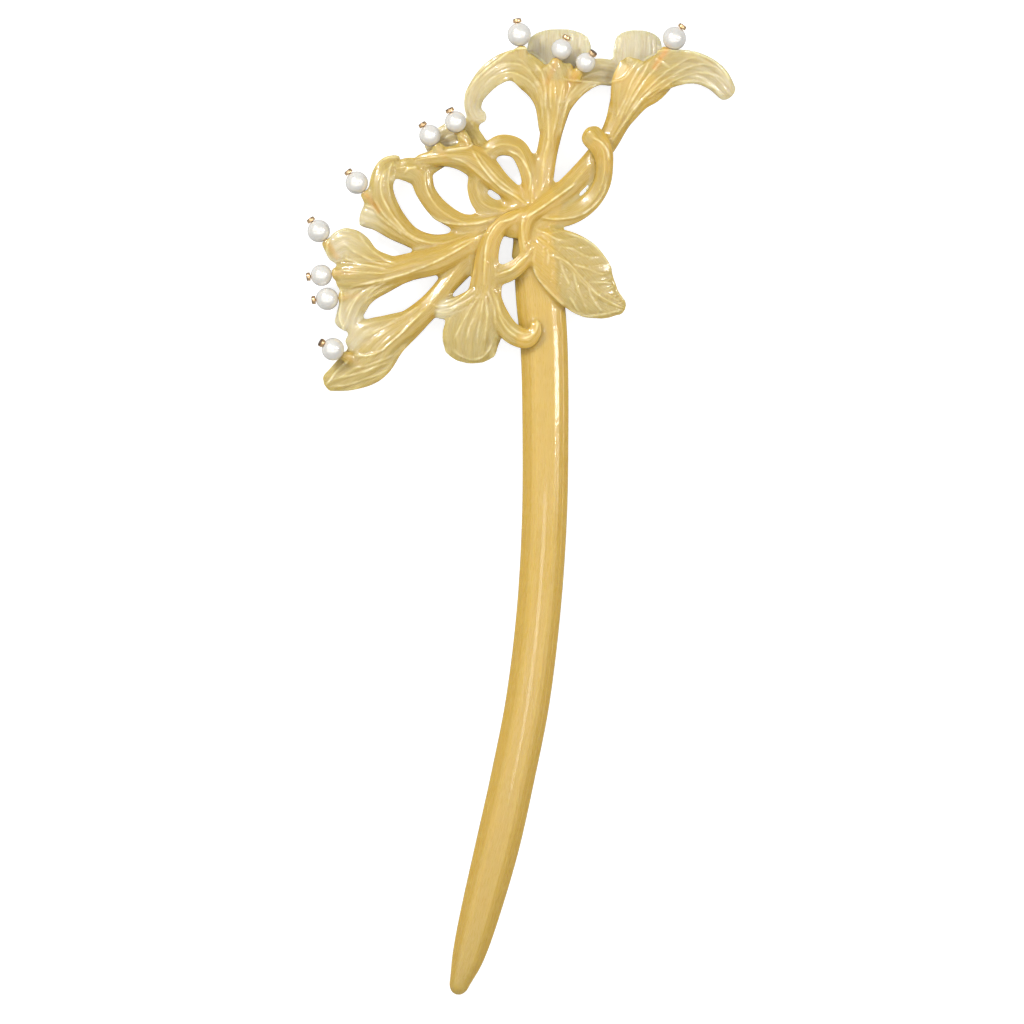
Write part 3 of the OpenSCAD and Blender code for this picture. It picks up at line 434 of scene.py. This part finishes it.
def ribbon(kind, stations, first, last):
    """A closed tube of rings along a member: points, quads, caps, each point's marks and the full length.

    The marks are the way along the member, the place across it from -1 to 1, and the half width.
    """
    line = smooth_line(stations)
    mid = line[:, :3]
    run = np.concatenate([[0], np.cumsum(np.linalg.norm(np.diff(mid, axis=0), axis=1))])
    heading = np.gradient(mid, axis=0)
    heading /= np.linalg.norm(heading, axis=1)[:, None]
    rings = []
    for a in DOMES:
        back = max(first, 0.02) * math.sin(a)
        rings.append((line[0], mid[0] - heading[0] * back, heading[0], math.cos(a), 0.0))
    for i in range(len(line)):
        rings.append((line[i], mid[i], heading[i], 1.0, run[i]))
    for a in DOMES[::-1]:
        ahead = max(last, 0.02) * math.sin(a)
        rings.append((line[-1], mid[-1] + heading[-1] * ahead, heading[-1], math.cos(a), run[-1] + ahead))
    angle = 2 * math.pi * np.arange(SIDES) / SIDES
    c, s = section(kind, angle)
    points, marks = [], []
    for st, o, h, k, u in rings:
        side = np.array([h[1], -h[0], 0]) / math.hypot(h[0], h[1])
        roll = math.radians(st[6])
        across = (st[3] + GROWTH) * k * c
        up = st[4] * k * s + st[5] * k * k * c * c
        x = across * math.cos(roll) - up * math.sin(roll)
        z = across * math.sin(roll) + up * math.cos(roll)
        points.append(o + side * x[:, None] + np.array([0, 0, 1.0]) * z[:, None])
        marks.append(np.stack([np.full(SIDES, u), c * k, np.full(SIDES, st[3])], 1))
    n = len(rings)
    quads = []
    for i in range(n - 1):
        a = i * SIDES + np.arange(SIDES)
        b = i * SIDES + (np.arange(SIDES) + 1) % SIDES
        quads.append(np.stack([a, b, b + SIDES, a + SIDES], 1))
    caps = [list(range(SIDES))[::-1], list(range((n - 1) * SIDES, n * SIDES))]
    return np.vstack(points), np.vstack(quads), caps, np.vstack(marks), run[-1] + last


def pegs():
    """The short pegs of horn that the pearls sit on, one round each pin."""
    made = []
    for joint in frame["joints"]:
        low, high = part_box(joint["child"])
        radius = max(h - l for l, h in zip(low, high)) / 2 / MM
        centre = np.array(joint["pos_m"]) / MM
        axis = np.array(joint["axis"], float)
        spots = [centre - axis * (radius + d) for d in (0, 0.8, 1.8, 3.2)]
        made.append(("peg", [[*spot, *size, 0, 0] for spot, size in
                             zip(spots, ((0.8, 0.8), (0.95, 0.9), (1.1, 0.8), (0.8, 0.5)))], 0, 0.3))
    return made


def new_mesh(name, points, faces):
    mesh = bpy.data.meshes.new(name)
    mesh.from_pydata([tuple(p) for p in points], [], [tuple(f) for f in faces])
    mesh.update()
    return mesh


def fused_blank():
    """All members swept and fused into one skin, still in millimetres, with the swept points and their marks.

    Each mark here is (along, across, half width, length, kind, member).
    """
    points, faces, marks = [], [], []
    start = 0
    for index, (kind, stations, first, last) in enumerate(MEMBERS + pegs()):
        p, quads, caps, m, length = ribbon(kind, stations, first, last)
        points.append(p)
        faces += [tuple(q) for q in (quads + start)]
        faces += [tuple(i + start for i in cap) for cap in caps]
        extra = np.tile([length, KINDS.index(kind), index], (len(p), 1))
        marks.append(np.hstack([m, extra]))
        start += len(p)
    points = np.vstack(points)
    mesh = voxelled(new_mesh("blank", points, faces), COARSE_VOXEL)
    for side, voxel in ((1, COARSE_VOXEL), (-1, VOXEL)):
        moved = read_points(mesh) + side * FILLET * read_normals(mesh)
        mesh.vertices.foreach_set("co", moved.ravel())
        mesh.update()
        mesh = voxelled(mesh, voxel)
    return mesh, points, np.vstack(marks)


def voxelled(mesh, voxel):
    """The mesh's outer skin, made again on an even grid."""
    ob = bpy.data.objects.new("blank", mesh)
    bpy.context.scene.collection.objects.link(ob)
    remesh = ob.modifiers.new("fuse", "REMESH")
    remesh.mode = "VOXEL"
    remesh.voxel_size = voxel
    bpy.context.view_layer.update()
    fused = bpy.data.meshes.new_from_object(ob.evaluated_get(bpy.context.evaluated_depsgraph_get()))
    bpy.data.objects.remove(ob)
    bpy.data.meshes.remove(mesh)
    return fused


def edge_pairs(mesh):
    pairs = np.empty(len(mesh.edges) * 2, np.int64)
    mesh.edges.foreach_get("vertices", pairs)
    return pairs.reshape(-1, 2)


def read_points(mesh):
    co = np.empty(len(mesh.vertices) * 3)
    mesh.vertices.foreach_get("co", co)
    return co.reshape(-1, 3)


def read_normals(mesh):
    no = np.empty(len(mesh.vertices) * 3, np.float32)
    mesh.vertex_normals.foreach_get("vector", no)
    return no.reshape(-1, 3).astype(float)


def neighbour_mean(values, pairs, count):
    a, b = pairs.T
    total = [np.bincount(a, v[b], len(v)) + np.bincount(b, v[a], len(v)) for v in values.T]
    return np.stack(total, 1) / count


def soften(values, pairs, count, passes, share=0.5):
    for _ in range(passes):
        values = values + share * (neighbour_mean(values, pairs, count) - values)
    return values


def levelled(points, normals, pairs):
    """Heights of the points once the front's hollows and steps are eased, most of all round the hub."""
    heart = np.clip((18 - np.hypot(points[:, 0] + 1, points[:, 1])) / 9, 0.2, 1)
    share = np.clip((normals[:, 2] - 0.05) / 0.5, 0, 1)
    z = points[:, 2].copy()
    a, b = pairs.T
    for _ in range(LEVEL_PASSES):
        total = np.bincount(a, share[b] * z[b], len(z)) + np.bincount(b, share[a] * z[a], len(z))
        weight = np.bincount(a, share[b], len(z)) + np.bincount(b, share[a], len(z)) + 1e-6
        z += 0.5 * heart * share * (total / weight - z)
    return z


# ---------------------------------------------------------------------------------------------------------
# Carving: how far the tool lifts or cuts the surface, in millimetres, at a point along and across a member


def ridge(x, place, width):
    return np.exp(-((x - place) / width) ** 2)


def fade(u, start, end, length):
    return np.clip((u - start) / 2.5, 0, 1) * np.clip((length - end - u) / 1.5, 0, 1)


def stem_relief(u, v, width, length, seed):
    line = 0.18 * ridge(v, 0.1 + 0.12 * np.sin(0.35 * u + seed), 0.17)
    flutes = 0.05 * np.cos(7.5 * v + 0.5 * np.sin(0.4 * u + seed))
    return line + flutes


def throat_relief(u, v, width, length, seed):
    wide = np.clip((width - 1.8) / 1.6, 0, 1)
    ribs = 0.11 * np.cos((9 + 5 * wide) * v + 0.5 * np.sin(0.35 * u + seed))
    line = 0.17 * ridge(v, 0.12 + 0.1 * np.sin(0.3 * u + seed), 0.15) * (1 - wide)
    rim = 0.18 * wide * ridge(np.abs(v), 0.9, 0.09)
    return ribs * (0.35 + 0.65 * wide) + line + rim


def lip_relief(u, v, width, length, seed):
    ribs = 0.09 * np.cos(11 * v + 0.6 * np.sin(0.45 * u + seed)) * fade(u, 1, 0, length)
    rim = 0.17 * ridge(np.abs(v), 0.88, 0.1)
    return ribs + rim


def fan_relief(u, v, width, length, seed):
    folds = 0.16 * (np.abs(((v * 4.2 + seed) % 1) - 0.5) * 2 - 0.5) * fade(u, 1, 0.4, length)
    return folds + 0.1 * ridge(np.abs(v), 0.9, 0.08)


def leaf_relief(u, v, width, length, seed):
    midrib = 0.2 * ridge(v, 0, 0.055)
    phase = ((u - 1.5 * np.abs(v) * width / 2) / 2.1) % 1
    blade = np.clip(np.abs(v) * 6, 0, 1) * np.clip((0.93 - np.abs(v)) * 8, 0, 1)
    veins = 0.16 * ridge(phase, 0.5, 0.11) * blade
    margin = 0.2 * ridge(np.abs(v), 0.93, 0.07)
    return midrib + veins + margin


def shaft_relief(u, v, width, length, seed):
    lines = 0.02 * np.cos(31 * v) + 0.012 * np.cos(53 * v + 1.3)
    facet = 0.05 * ridge(np.abs(v), 0.45, 0.05)
    return lines + facet


def hub_relief(u, v, width, length, seed):
    return 0 * v


RELIEFS = {
    "shaft": shaft_relief, "leaf": leaf_relief, "throat": throat_relief, "lip": lip_relief, "fan": fan_relief,
    "stem": stem_relief, "bud": stem_relief, "hub": hub_relief, "peg": hub_relief,
}


def relief(marks):
    """Height of the carving at every swept point."""
    u, v, width, length, kind, member = marks.T
    out = np.zeros(len(marks))
    for i, name in enumerate(KINDS):
        on = kind == i
        out[on] = RELIEFS[name](u[on], v[on], width[on], length[on], member[on])
    return out


def ragged(marks):
    """Height of the waves along the free edges of the petals at every swept point."""
    u, v, width, _, kind, member = marks.T
    petal = np.isin(kind, [KINDS.index(k) for k in ("lip", "fan", "throat")])
    wide = np.clip((width - 1.6) / 1.5, 0, 1)
    edge = petal * wide * np.clip((np.abs(v) - 0.6) / 0.4, 0, 1) ** 2
    wave = 0.22 * np.sin(1.15 * u + 2 * np.sign(v) + member) + 0.08 * np.sin(3.1 * u + member)
    return edge * wave


def wire_share(points):
    """How near each point is to a buried pin wire, from 0 to 1, seen through the horn."""
    near = np.zeros(len(points))
    for joint, clear in zip(frame["joints"], WIRE_SHOWS):
        centre = np.array(joint["pos_m"]) / MM
        axis = np.array(joint["axis"])
        node = frame["nodes"][joint["child"].replace("pearl", "head_pin")]
        along = (read_points(node.data) / MM - centre) @ axis
        rel = points - centre
        t = rel @ axis
        inside = (t > along.min() - 0.2) & (t < -1.8)
        away = rel - t[:, None] * axis
        flat = np.hypot(away[:, 0], away[:, 1])
        near = np.maximum(near, clear * inside * np.exp(-(flat / 0.5) ** 2) * (np.abs(away[:, 2]) < 2))
    return near


def wall_depth(mesh, points, normals, reach=6.0):
    """Thickness of the horn behind each point, up to reach."""
    tree = BVHTree.FromPolygons([tuple(p) for p in points], [tuple(f.vertices) for f in mesh.polygons])
    depth = np.full(len(points), reach)
    for i in range(len(points)):
        n = Vector(normals[i])
        hit = tree.ray_cast(Vector(points[i]) - n * 0.05, -n, reach)
        if hit[3] is not None:
            depth[i] = hit[3]
    return depth


def add_value(mesh, name, values):
    mesh.attributes.new(name, "FLOAT", "POINT").data.foreach_set("value", np.asarray(values, np.float32))


def curve_points(points):
    """Points 0.1 mm apart along the smooth line through the drawn ones, with the share of the way of each."""
    p = np.array(points, float)
    p = np.vstack([2 * p[0] - p[1], p, 2 * p[-1] - p[-2]])
    out = []
    for i in range(1, len(p) - 2):
        steps = max(2, int(np.linalg.norm(p[i + 1] - p[i]) / 0.1))
        out += [through(p[i - 1], p[i], p[i + 1], p[i + 2], k / steps) for k in range(steps)]
    out = np.array(out)
    return out, np.linspace(0, 1, len(out))


def stroke_lift(points, seen):
    """Height of the drawn lines at each point of the front that is in sight from above."""
    lift = np.zeros(len(points))
    for kind, line in STROKES:
        high, half = CUTS[kind]
        path, share = curve_points(line)
        low, top = path.min(0) - 3 * half, path.max(0) + 3 * half
        box = np.nonzero(seen & np.all((points[:, :2] > low) & (points[:, :2] < top), axis=1))[0]
        tree = KDTree(len(path))
        for i, p in enumerate(path):
            tree.insert((p[0], p[1], 0), i)
        tree.balance()
        for i in box:
            _, at, far = tree.find((points[i, 0], points[i, 1], 0))
            if far < 2.5 * half:
                ends = min(1, 8 * min(share[at], 1 - share[at]) + 0.15)
                lift[i] = max(lift[i], high * ends * math.exp(-(far / half) ** 2))
    return lift


def in_sight(mesh, points, normals):
    """Which points nothing covers from above."""
    tree = BVHTree.FromPolygons([tuple(p) for p in points], [tuple(f.vertices) for f in mesh.polygons])
    seen = normals[:, 2] > 0.25
    for i in np.nonzero(seen)[0]:
        if tree.ray_cast(Vector(points[i]) + Vector((0, 0, 0.1)), Vector((0, 0, 1)))[0] is not None:
            seen[i] = False
    return seen


def carved_horn():
    mesh, swept, marks = fused_blank()
    pairs = edge_pairs(mesh)
    count = np.bincount(pairs.ravel(), minlength=len(mesh.vertices)).astype(float)[:, None]
    points = soften(read_points(mesh), pairs, count, SOFTEN_PASSES)
    mesh.vertices.foreach_set("co", points.ravel())
    mesh.update()
    points[:, 2] = levelled(points, read_normals(mesh), pairs)

    tree = KDTree(len(swept))
    for i, p in enumerate(swept):
        tree.insert(p, i)
    tree.balance()
    nearest = np.array([tree.find(p)[1] for p in points])
    lift = relief(marks)[nearest]
    wave = ragged(marks)[nearest]
    lift = soften(lift[:, None], pairs, count, 1)[:, 0]
    wave = soften(wave[:, None], pairs, count, 3)[:, 0]

    mesh.vertices.foreach_set("co", points.ravel())
    mesh.update()
    normals = read_normals(mesh)
    lines = stroke_lift(points, in_sight(mesh, points, normals))
    lift = CARVING * lift * np.clip(0.35 + normals[:, 2], 0.25, 1) + lines
    points = points + normals * lift[:, None]
    points[:, 2] += wave
    points[:, 2] = np.maximum(points[:, 2], FLOOR_GAP)
    mesh.vertices.foreach_set("co", points.ravel())
    mesh.update()

    normals = read_normals(mesh)
    mean = neighbour_mean(points, pairs, count)
    # hollow is the surface's concavity. The horn material paints shade in the creases and highlights on the
    # crests from it.
    hollow = soften(np.einsum("ij,ij->i", mean - points, normals)[:, None], pairs, count, 6)[:, 0]
    along, across, width, length, kind, member = marks[nearest].T
    # depth drives the horn's thickness tone, which is painted light showing through thin horn, and keeps the
    # painted edge glow to thick parts.
    depth = soften(wall_depth(mesh, points, normals)[:, None], pairs, count, 24)[:, 0]
    add_value(mesh, "depth", depth)
    # rim marks the sides of the thick members, where the horn material paints an orange glow of light.
    rim = np.abs(across) * np.isin(kind, [KINDS.index(k) for k in ("throat", "stem", "bud", "shaft")])
    add_value(mesh, "rim", soften(rim[:, None], pairs, count, 4)[:, 0])
    add_value(mesh, "hollow", hollow)
    # wall marks the steep sides, which the horn material paints darker as shade.
    add_value(mesh, "wall", soften(1 - np.clip(np.abs(normals[:, 2:]), 0, 1), pairs, count, 1)[:, 0])
    # pale marks the fans and the outer ends of the lips, which the horn material paints pale grey as light
    # showing through the thin petals.
    outer = np.clip(along / length * 2.4 - 1.1, 0, 1)
    pale = (kind == KINDS.index("fan")) + 0.75 * (kind == KINDS.index("lip")) * outer
    add_value(mesh, "pale", soften(pale[:, None], pairs, count, 12)[:, 0])
    # line marks the carved lines, which the horn material paints with patchy highlights.
    add_value(mesh, "line", lines / 0.2)
    add_value(mesh, "wire", wire_share(points))
    flow = soften(np.stack([along, across * width, member * MEMBER_SHIFT], 1), pairs, count, 10)
    vectors = mesh.attributes.new("flow", "FLOAT_VECTOR", "POINT").data
    vectors.foreach_set("vector", flow.astype(np.float32).ravel())
    mesh.vertices.foreach_set("co", (points * MM).ravel())
    mesh.update()
    mesh.polygons.foreach_set("use_smooth", [True] * len(mesh.polygons))
    ob = bpy.data.objects.new("carved_horn", mesh)
    bpy.context.scene.collection.objects.link(ob)
    return ob


# ---------------------------------------------------------------------------------------------------------
# Pearls and head pins: one turned profile each, on the pin's own axis

PEARL_SHARE = 0.985  # of the CAD pearl's radius, which leaves room for the unevenness
HOLE = 0.3  # radius of the hole through a pearl
MOUTH = 0.14  # softened edge of that hole
PEARL_SIDES = 72
PIN_SIDES = 40


def turned(name, profile, centre, axis, sides, wobble, seed):
    """A body of revolution about axis through centre, from [radius, along] points in mm, slightly uneven."""
    axis = Vector(axis).normalized()
    side = axis.cross(Vector((0, 0, 1))).normalized()
    up = side.cross(axis)
    points = []
    for i in range(sides):
        a = 2 * math.pi * i / sides
        out = side * math.cos(a) + up * math.sin(a)
        for r, z in profile:
            twofold = math.sin(2 * a + seed) * math.cos(0.8 * z + seed)
            k = 1 + wobble * twofold + 0.5 * wobble * math.sin(3 * a + 2 * seed)
            points.append(Vector(centre) + (out * r * k + axis * z) * MM)
    n = len(profile)
    faces = []
    for i in range(sides):
        j = (i + 1) % sides
        for k in range(n):
            up_one = (k + 1) % n
            faces.append((i * n + k, i * n + up_one, j * n + up_one, j * n + k))
    mesh = new_mesh(name, points, faces)
    mesh.polygons.foreach_set("use_smooth", [True] * len(mesh.polygons))
    ob = bpy.data.objects.new(name, mesh)
    bpy.context.scene.collection.objects.link(ob)
    return ob


def pearl_profile(radius, hole, lip):
    """Round outside, softened at both mouths of the drilled hole, and the hole's wall."""
    start = math.asin((hole + lip) / radius)
    outside = [[radius * math.sin(a), -radius * math.cos(a)] for a in np.linspace(start, math.pi - start, 40)]
    top = outside[-1][1]
    turns = np.radians([20, 45, 70, 90])
    mouth = [[hole + lip * (1 - math.sin(a)), top - lip * (1 - math.cos(a)) * 0.9] for a in turns]
    wall = [[hole, top * 0.5], [hole, 0], [hole, -top * 0.5]]
    return outside + mouth + wall + [[r, -z] for r, z in mouth[::-1]]


def pins_and_pearls():
    """The turned pearl and head pin of every hinge, from the size of the CAD nodes they stand for."""
    made = []
    for n, joint in enumerate(frame["joints"]):
        number = joint["child"][-2:]
        centre = joint["pos_m"]
        axis = np.array(joint["axis"], float)
        low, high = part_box("pearl_" + number)
        radius = max(h - l for l, h in zip(low, high)) / 2 / MM
        pin = read_points(frame["nodes"]["head_pin_" + number].data) / MM - np.array(centre) / MM
        along = pin @ axis
        away = np.linalg.norm(pin - along[:, None] * axis, axis=1)
        wire = away[along < along.min() + 0.3].max()
        head = away.max()
        bottom = along[away > wire * 1.5].min()
        outline = pearl_profile(radius * PEARL_SHARE, HOLE, MOUTH)
        pearl = turned("pearl_turned_" + number, outline, centre, axis, PEARL_SIDES, 0.008, n)
        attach(pearl, joint["child"])
        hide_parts("pearl_" + number)
        wall = [
            (0.94, 0), (1, 0.08), (1, 0.3), (0.96, 0.42), (0.98, 0.52), (0.9, 0.62), (0.7, 0.66), (0.4, 0.67),
        ]
        profile = [[0.001, along.min()], [wire * 0.7, along.min() + 0.02], [wire, along.min() + 0.15]]
        profile += [[wire, z] for z in np.linspace(along.min() + 0.4, bottom - 0.05, 8)]
        profile += [[head * k, bottom + z] for k, z in wall]
        profile += [[0.001, bottom + 0.67]]
        gold = turned("pin_turned_" + number, profile, centre, axis, PIN_SIDES, 0.012, 3 * n)
        outer = (read_points(gold.data) - np.array(centre)) @ axis / MM - bottom
        add_value(gold.data, "outer", np.clip((outer - 0.38) / 0.2, 0, 1))
        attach(gold, joint["parent"])
        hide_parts("head_pin_" + number)
        made.append((pearl, gold))
    return made


# ---------------------------------------------------------------------------------------------------------
# Materials


class Nodes:
    """A node material put together by short calls."""

    def __init__(self, name):
        self.material = bpy.data.materials.new(name)
        self.material.use_nodes = True
        self.tree = self.material.node_tree
        self.shader = next(n for n in self.tree.nodes if n.type == "BSDF_PRINCIPLED")

    def node(self, kind, settings=None, **inputs):
        made = self.tree.nodes.new(kind)
        for key, value in (settings or {}).items():
            setattr(made, key, value)
        for key, value in inputs.items():
            self.feed(made.inputs[key.replace("_", " ")], value)
        return made

    def feed(self, socket, value):
        if isinstance(value, bpy.types.NodeSocket):
            self.tree.links.new(value, socket)
        else:
            socket.default_value = value

    def attribute(self, name, output="Fac"):
        return self.node("ShaderNodeAttribute", {"attribute_name": name}).outputs[output]

    def noise(self, vector, scale, detail=3.0, stretch=(1, 1, 1)):
        mapped = self.node("ShaderNodeMapping", Vector=vector, Scale=stretch).outputs[0]
        return self.node("ShaderNodeTexNoise", Vector=mapped, Scale=scale, Detail=detail).outputs["Fac"]

    def math(self, operation, a, b=0.0, clamp=False):
        made = self.node("ShaderNodeMath", {"operation": operation, "use_clamp": clamp})
        self.feed(made.inputs[0], a)
        self.feed(made.inputs[1], b)
        return made.outputs[0]

    def span(self, value, low, high, to_low=0.0, to_high=1.0):
        made = self.node("ShaderNodeMapRange", {"interpolation_type": "SMOOTHSTEP"}, Value=value,
                         From_Min=low, From_Max=high, To_Min=to_low, To_Max=to_high)
        return made.outputs[0]

    def ramp(self, value, stops):
        made = self.node("ShaderNodeValToRGB", Fac=value)
        ramp = made.color_ramp
        while len(ramp.elements) < len(stops):
            ramp.elements.new(1)
        for element, (place, colour) in zip(ramp.elements, stops):
            element.position = place
            element.color = (*colour, 1)
        return made.outputs["Color"]

    def mix(self, share, a, b):
        made = self.node("ShaderNodeMix", {"data_type": "RGBA"})
        self.feed(made.inputs[0], share)
        self.feed(made.inputs[6], a if isinstance(a, bpy.types.NodeSocket) else (*a, 1))
        self.feed(made.inputs[7], b if isinstance(b, bpy.types.NodeSocket) else (*b, 1))
        return made.outputs[2]

    def bump(self, height, strength, distance):
        made = self.node("ShaderNodeBump", Height=height, Strength=strength, Distance=distance)
        return made.outputs["Normal"]

    def set(self, **values):
        for key, value in values.items():
            self.feed(self.shader.inputs[key.replace("_", " ")], value)
        return self.material


def horn_material():
    m = Nodes("horn")
    flow = m.attribute("flow", "Vector")
    depth = m.attribute("depth")
    place = m.node("ShaderNodeTexCoord").outputs["Object"]
    fibre = m.noise(flow, 1.0, 4.0, (0.16, 3.2, 1))
    fine = m.noise(flow, 1.0, 3.0, (0.5, 11, 1))
    cloud = m.noise(place, 150, 2.0)
    cloudy = m.math("MULTIPLY", m.math("SUBTRACT", cloud, 0.5), 0.35)
    # Painted light: the ramp makes thin horn paler and thick horn deeper amber, standing in for light passing
    # through it. The cloudy noise adds the horn's own random tone.
    thick = m.math("ADD", m.span(depth, 1.0, 4.6), cloudy, True)
    colour = m.ramp(thick, [(0, (0.5, 0.395, 0.14)), (0.35, (0.5, 0.36, 0.09)), (1, (0.59, 0.4, 0.08))])
    # Fans and lip ends are painted pale grey. The fibre lines in it are the horn's grain; the paleness is
    # painted light showing through the thin petals.
    grey = m.mix(m.span(fine, 0.45, 0.62), (0.66, 0.6, 0.43), (0.56, 0.49, 0.31))
    colour = m.mix(m.attribute("pale"), colour, grey)
    # Painted light: the sides of thick stems, throats, buds and the shaft get the deeper orange that light
    # picks up on its longer way through the horn.
    edge = m.math("MULTIPLY", m.span(m.attribute("rim"), 0.4, 1.0), m.span(depth, 1.2, 3.2))
    colour = m.mix(m.math("MULTIPLY", edge, 0.6), colour, (0.58, 0.37, 0.06))
    streak = m.span(fibre, 0.38, 0.68)
    colour = m.mix(m.math("MULTIPLY", streak, 0.22), colour, (0.52, 0.37, 0.1))
    # Painted shade: concave creases are darkened to deep orange.
    crease_shade = m.span(m.attribute("hollow"), 0.0, 0.02)
    colour = m.mix(m.math("MULTIPLY", crease_shade, 0.6), colour, (0.46, 0.28, 0.04))
    # Painted highlight: convex crests are made lighter, as if catching the light.
    crest_highlight = m.span(m.math("MULTIPLY", m.attribute("hollow"), -1.0), 0.002, 0.02)
    colour = m.mix(m.math("MULTIPLY", crest_highlight, 0.3), colour, (0.68, 0.6, 0.32))
    colour = m.mix(m.math("MULTIPLY", m.attribute("wire"), 0.75), colour, (0.62, 0.3, 0.05))
    rough = m.span(m.math("ADD", fine, m.math("MULTIPLY", cloud, 0.5)), 0.4, 1.1, 0.2, 0.36)
    # Painted shade: the steep sides of the members are darkened to brown.
    wall = m.span(m.attribute("wall"), 0.45, 0.95)
    colour = m.mix(m.math("MULTIPLY", wall, 0.85), colour, (0.3, 0.2, 0.06))
    # Painted highlight: the carved lines are painted pale in broken patches, standing in for glints on their
    # crests.
    line_glint = m.math("MULTIPLY", m.attribute("line"), m.span(m.noise(place, 500, 2.0), 0.4, 0.6, 0.15, 0.6))
    colour = m.mix(line_glint, colour, (0.9, 0.82, 0.52))
    height = m.math("ADD", m.math("MULTIPLY", fibre, 0.6), m.math("MULTIPLY", fine, 0.4))
    normal = m.bump(height, 0.3, 0.0002)
    return m.set(Base_Color=colour, Roughness=rough, Normal=normal, IOR=1.54, Subsurface_Weight=1.0,
                 Subsurface_Radius=(0.0022, 0.0019, 0.0009), Subsurface_Scale=1.0, Coat_Weight=0.45,
                 Coat_Roughness=0.06)


def pearl_material():
    m = Nodes("pearl")
    place = m.node("ShaderNodeTexCoord").outputs["Object"]
    bands = m.noise(place, 260, 3.0)
    colour = m.ramp(bands, [(0.3, (0.74, 0.72, 0.67)), (0.55, (0.8, 0.78, 0.73)), (0.75, (0.77, 0.74, 0.69))])
    normal = m.bump(m.noise(place, 900, 4.0), 0.12, 0.00008)
    rough = m.span(bands, 0.3, 0.7, 0.14, 0.26)
    return m.set(Base_Color=colour, Roughness=rough, Normal=normal, IOR=1.5, Metallic=0.3,
                 Subsurface_Weight=0.2, Subsurface_Radius=(0.0012, 0.001, 0.0008), Subsurface_Scale=1.0,
                 Coat_Weight=0.6, Coat_Roughness=0.05, Coat_IOR=1.5)


def gold_material():
    m = Nodes("gold")
    place = m.node("ShaderNodeTexCoord").outputs["Object"]
    spots = m.noise(place, 1600, 4.0)
    tone = m.noise(place, 500, 2.0)
    colour = m.ramp(tone, [(0.3, (0.72, 0.47, 0.24)), (0.6, (0.86, 0.62, 0.36)), (0.8, (0.6, 0.35, 0.17))])
    colour = m.mix(m.math("MULTIPLY", m.attribute("outer"), 0.85), colour, (0.1, 0.05, 0.025))
    normal = m.bump(spots, 0.55, 0.00012)
    rough = m.span(spots, 0.3, 0.7, 0.24, 0.42)
    return m.set(Base_Color=colour, Metallic=1.0, Roughness=rough, Normal=normal)


def floor_material():
    m = Nodes("studio_white")
    place = m.node("ShaderNodeTexCoord").outputs["Object"]
    paper = m.noise(place, 400, 4.0)
    colour = m.ramp(paper, [(0.2, (0.42, 0.42, 0.42)), (0.8, (0.46, 0.46, 0.46))])
    white = m.math("MULTIPLY", m.node("ShaderNodeLightPath").outputs["Is Camera Ray"], 0.8)
    return m.set(Base_Color=colour, Roughness=0.9, Normal=m.bump(paper, 0.05, 0.0002),
                 Emission_Color=(1, 1, 1, 1), Emission_Strength=white)


# ---------------------------------------------------------------------------------------------------------
# The studio: a white floor under the pin, soft lights, and a camera straight above


def studio():
    corners = [(-8, -8, -0.0002), (8, -8, -0.0002), (8, 8, -0.0002), (-8, 8, -0.0002)]
    mesh = new_mesh("floor", corners, [(0, 1, 2, 3)])
    floor = bpy.data.objects.new("floor", mesh)
    bpy.context.scene.collection.objects.link(floor)
    floor.data.materials.append(floor_material())

    middle = Vector((-0.00315, -0.0523, 0.004))
    for name, place, size, power in (
        ("strip_high", (0, 0.175, 0.45), (1.6, 0.3), 1.5), ("strip_low", (0, -0.175, 0.45), (1.6, 0.3), 1.45),
        ("strip_shaft", (0.006, -0.053, 0.44), (0.035, 0.2), 0.13),
        ("key", (-0.3, 0.36, 0.42), (0.06, 0.14), 2), ("rim", (0.34, 0.1, 0.34), (0.05, 0.12), 0.5),
    ):
        data = bpy.data.lights.new(name, "AREA")
        data.shape = "RECTANGLE"
        data.size, data.size_y = size
        data.energy = power
        light = bpy.data.objects.new(name, data)
        light.location = middle + Vector(place)
        light.visible_camera = False
        if not name.startswith("strip"):
            light.rotation_euler = (-Vector(place)).to_track_quat("-Z", "Y").to_euler()
        bpy.context.scene.collection.objects.link(light)

    world = bpy.data.worlds.new("studio")
    world.use_nodes = True
    world.node_tree.nodes["Background"].inputs["Color"].default_value = (1, 1, 1, 1)
    world.node_tree.nodes["Background"].inputs["Strength"].default_value = 0.35
    bpy.context.scene.world = world
    bpy.context.scene.view_settings.view_transform = "Standard"

    data = bpy.data.cameras.new("camera")
    data.sensor_width = 36
    data.lens = 120
    data.clip_start, data.clip_end = 0.01, 10
    camera = bpy.data.objects.new("camera", data)
    height = 0.1792 / 2 / math.tan(math.atan(36 / 2 / 120))
    camera.location = (middle.x, middle.y, height + 0.004)
    bpy.context.scene.collection.objects.link(camera)
    bpy.context.scene.camera = camera


studio()
horn = carved_horn()
horn.data.materials.append(horn_material())
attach(horn, "horn")
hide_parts(*[name for name in frame["nodes"] if not name.startswith(("pearl", "head_pin"))])
pearl_skin, gold_skin = pearl_material(), gold_material()
for pearl, gold in pins_and_pearls():
    pearl.data.materials.append(pearl_skin)
    gold.data.materials.append(gold_skin)
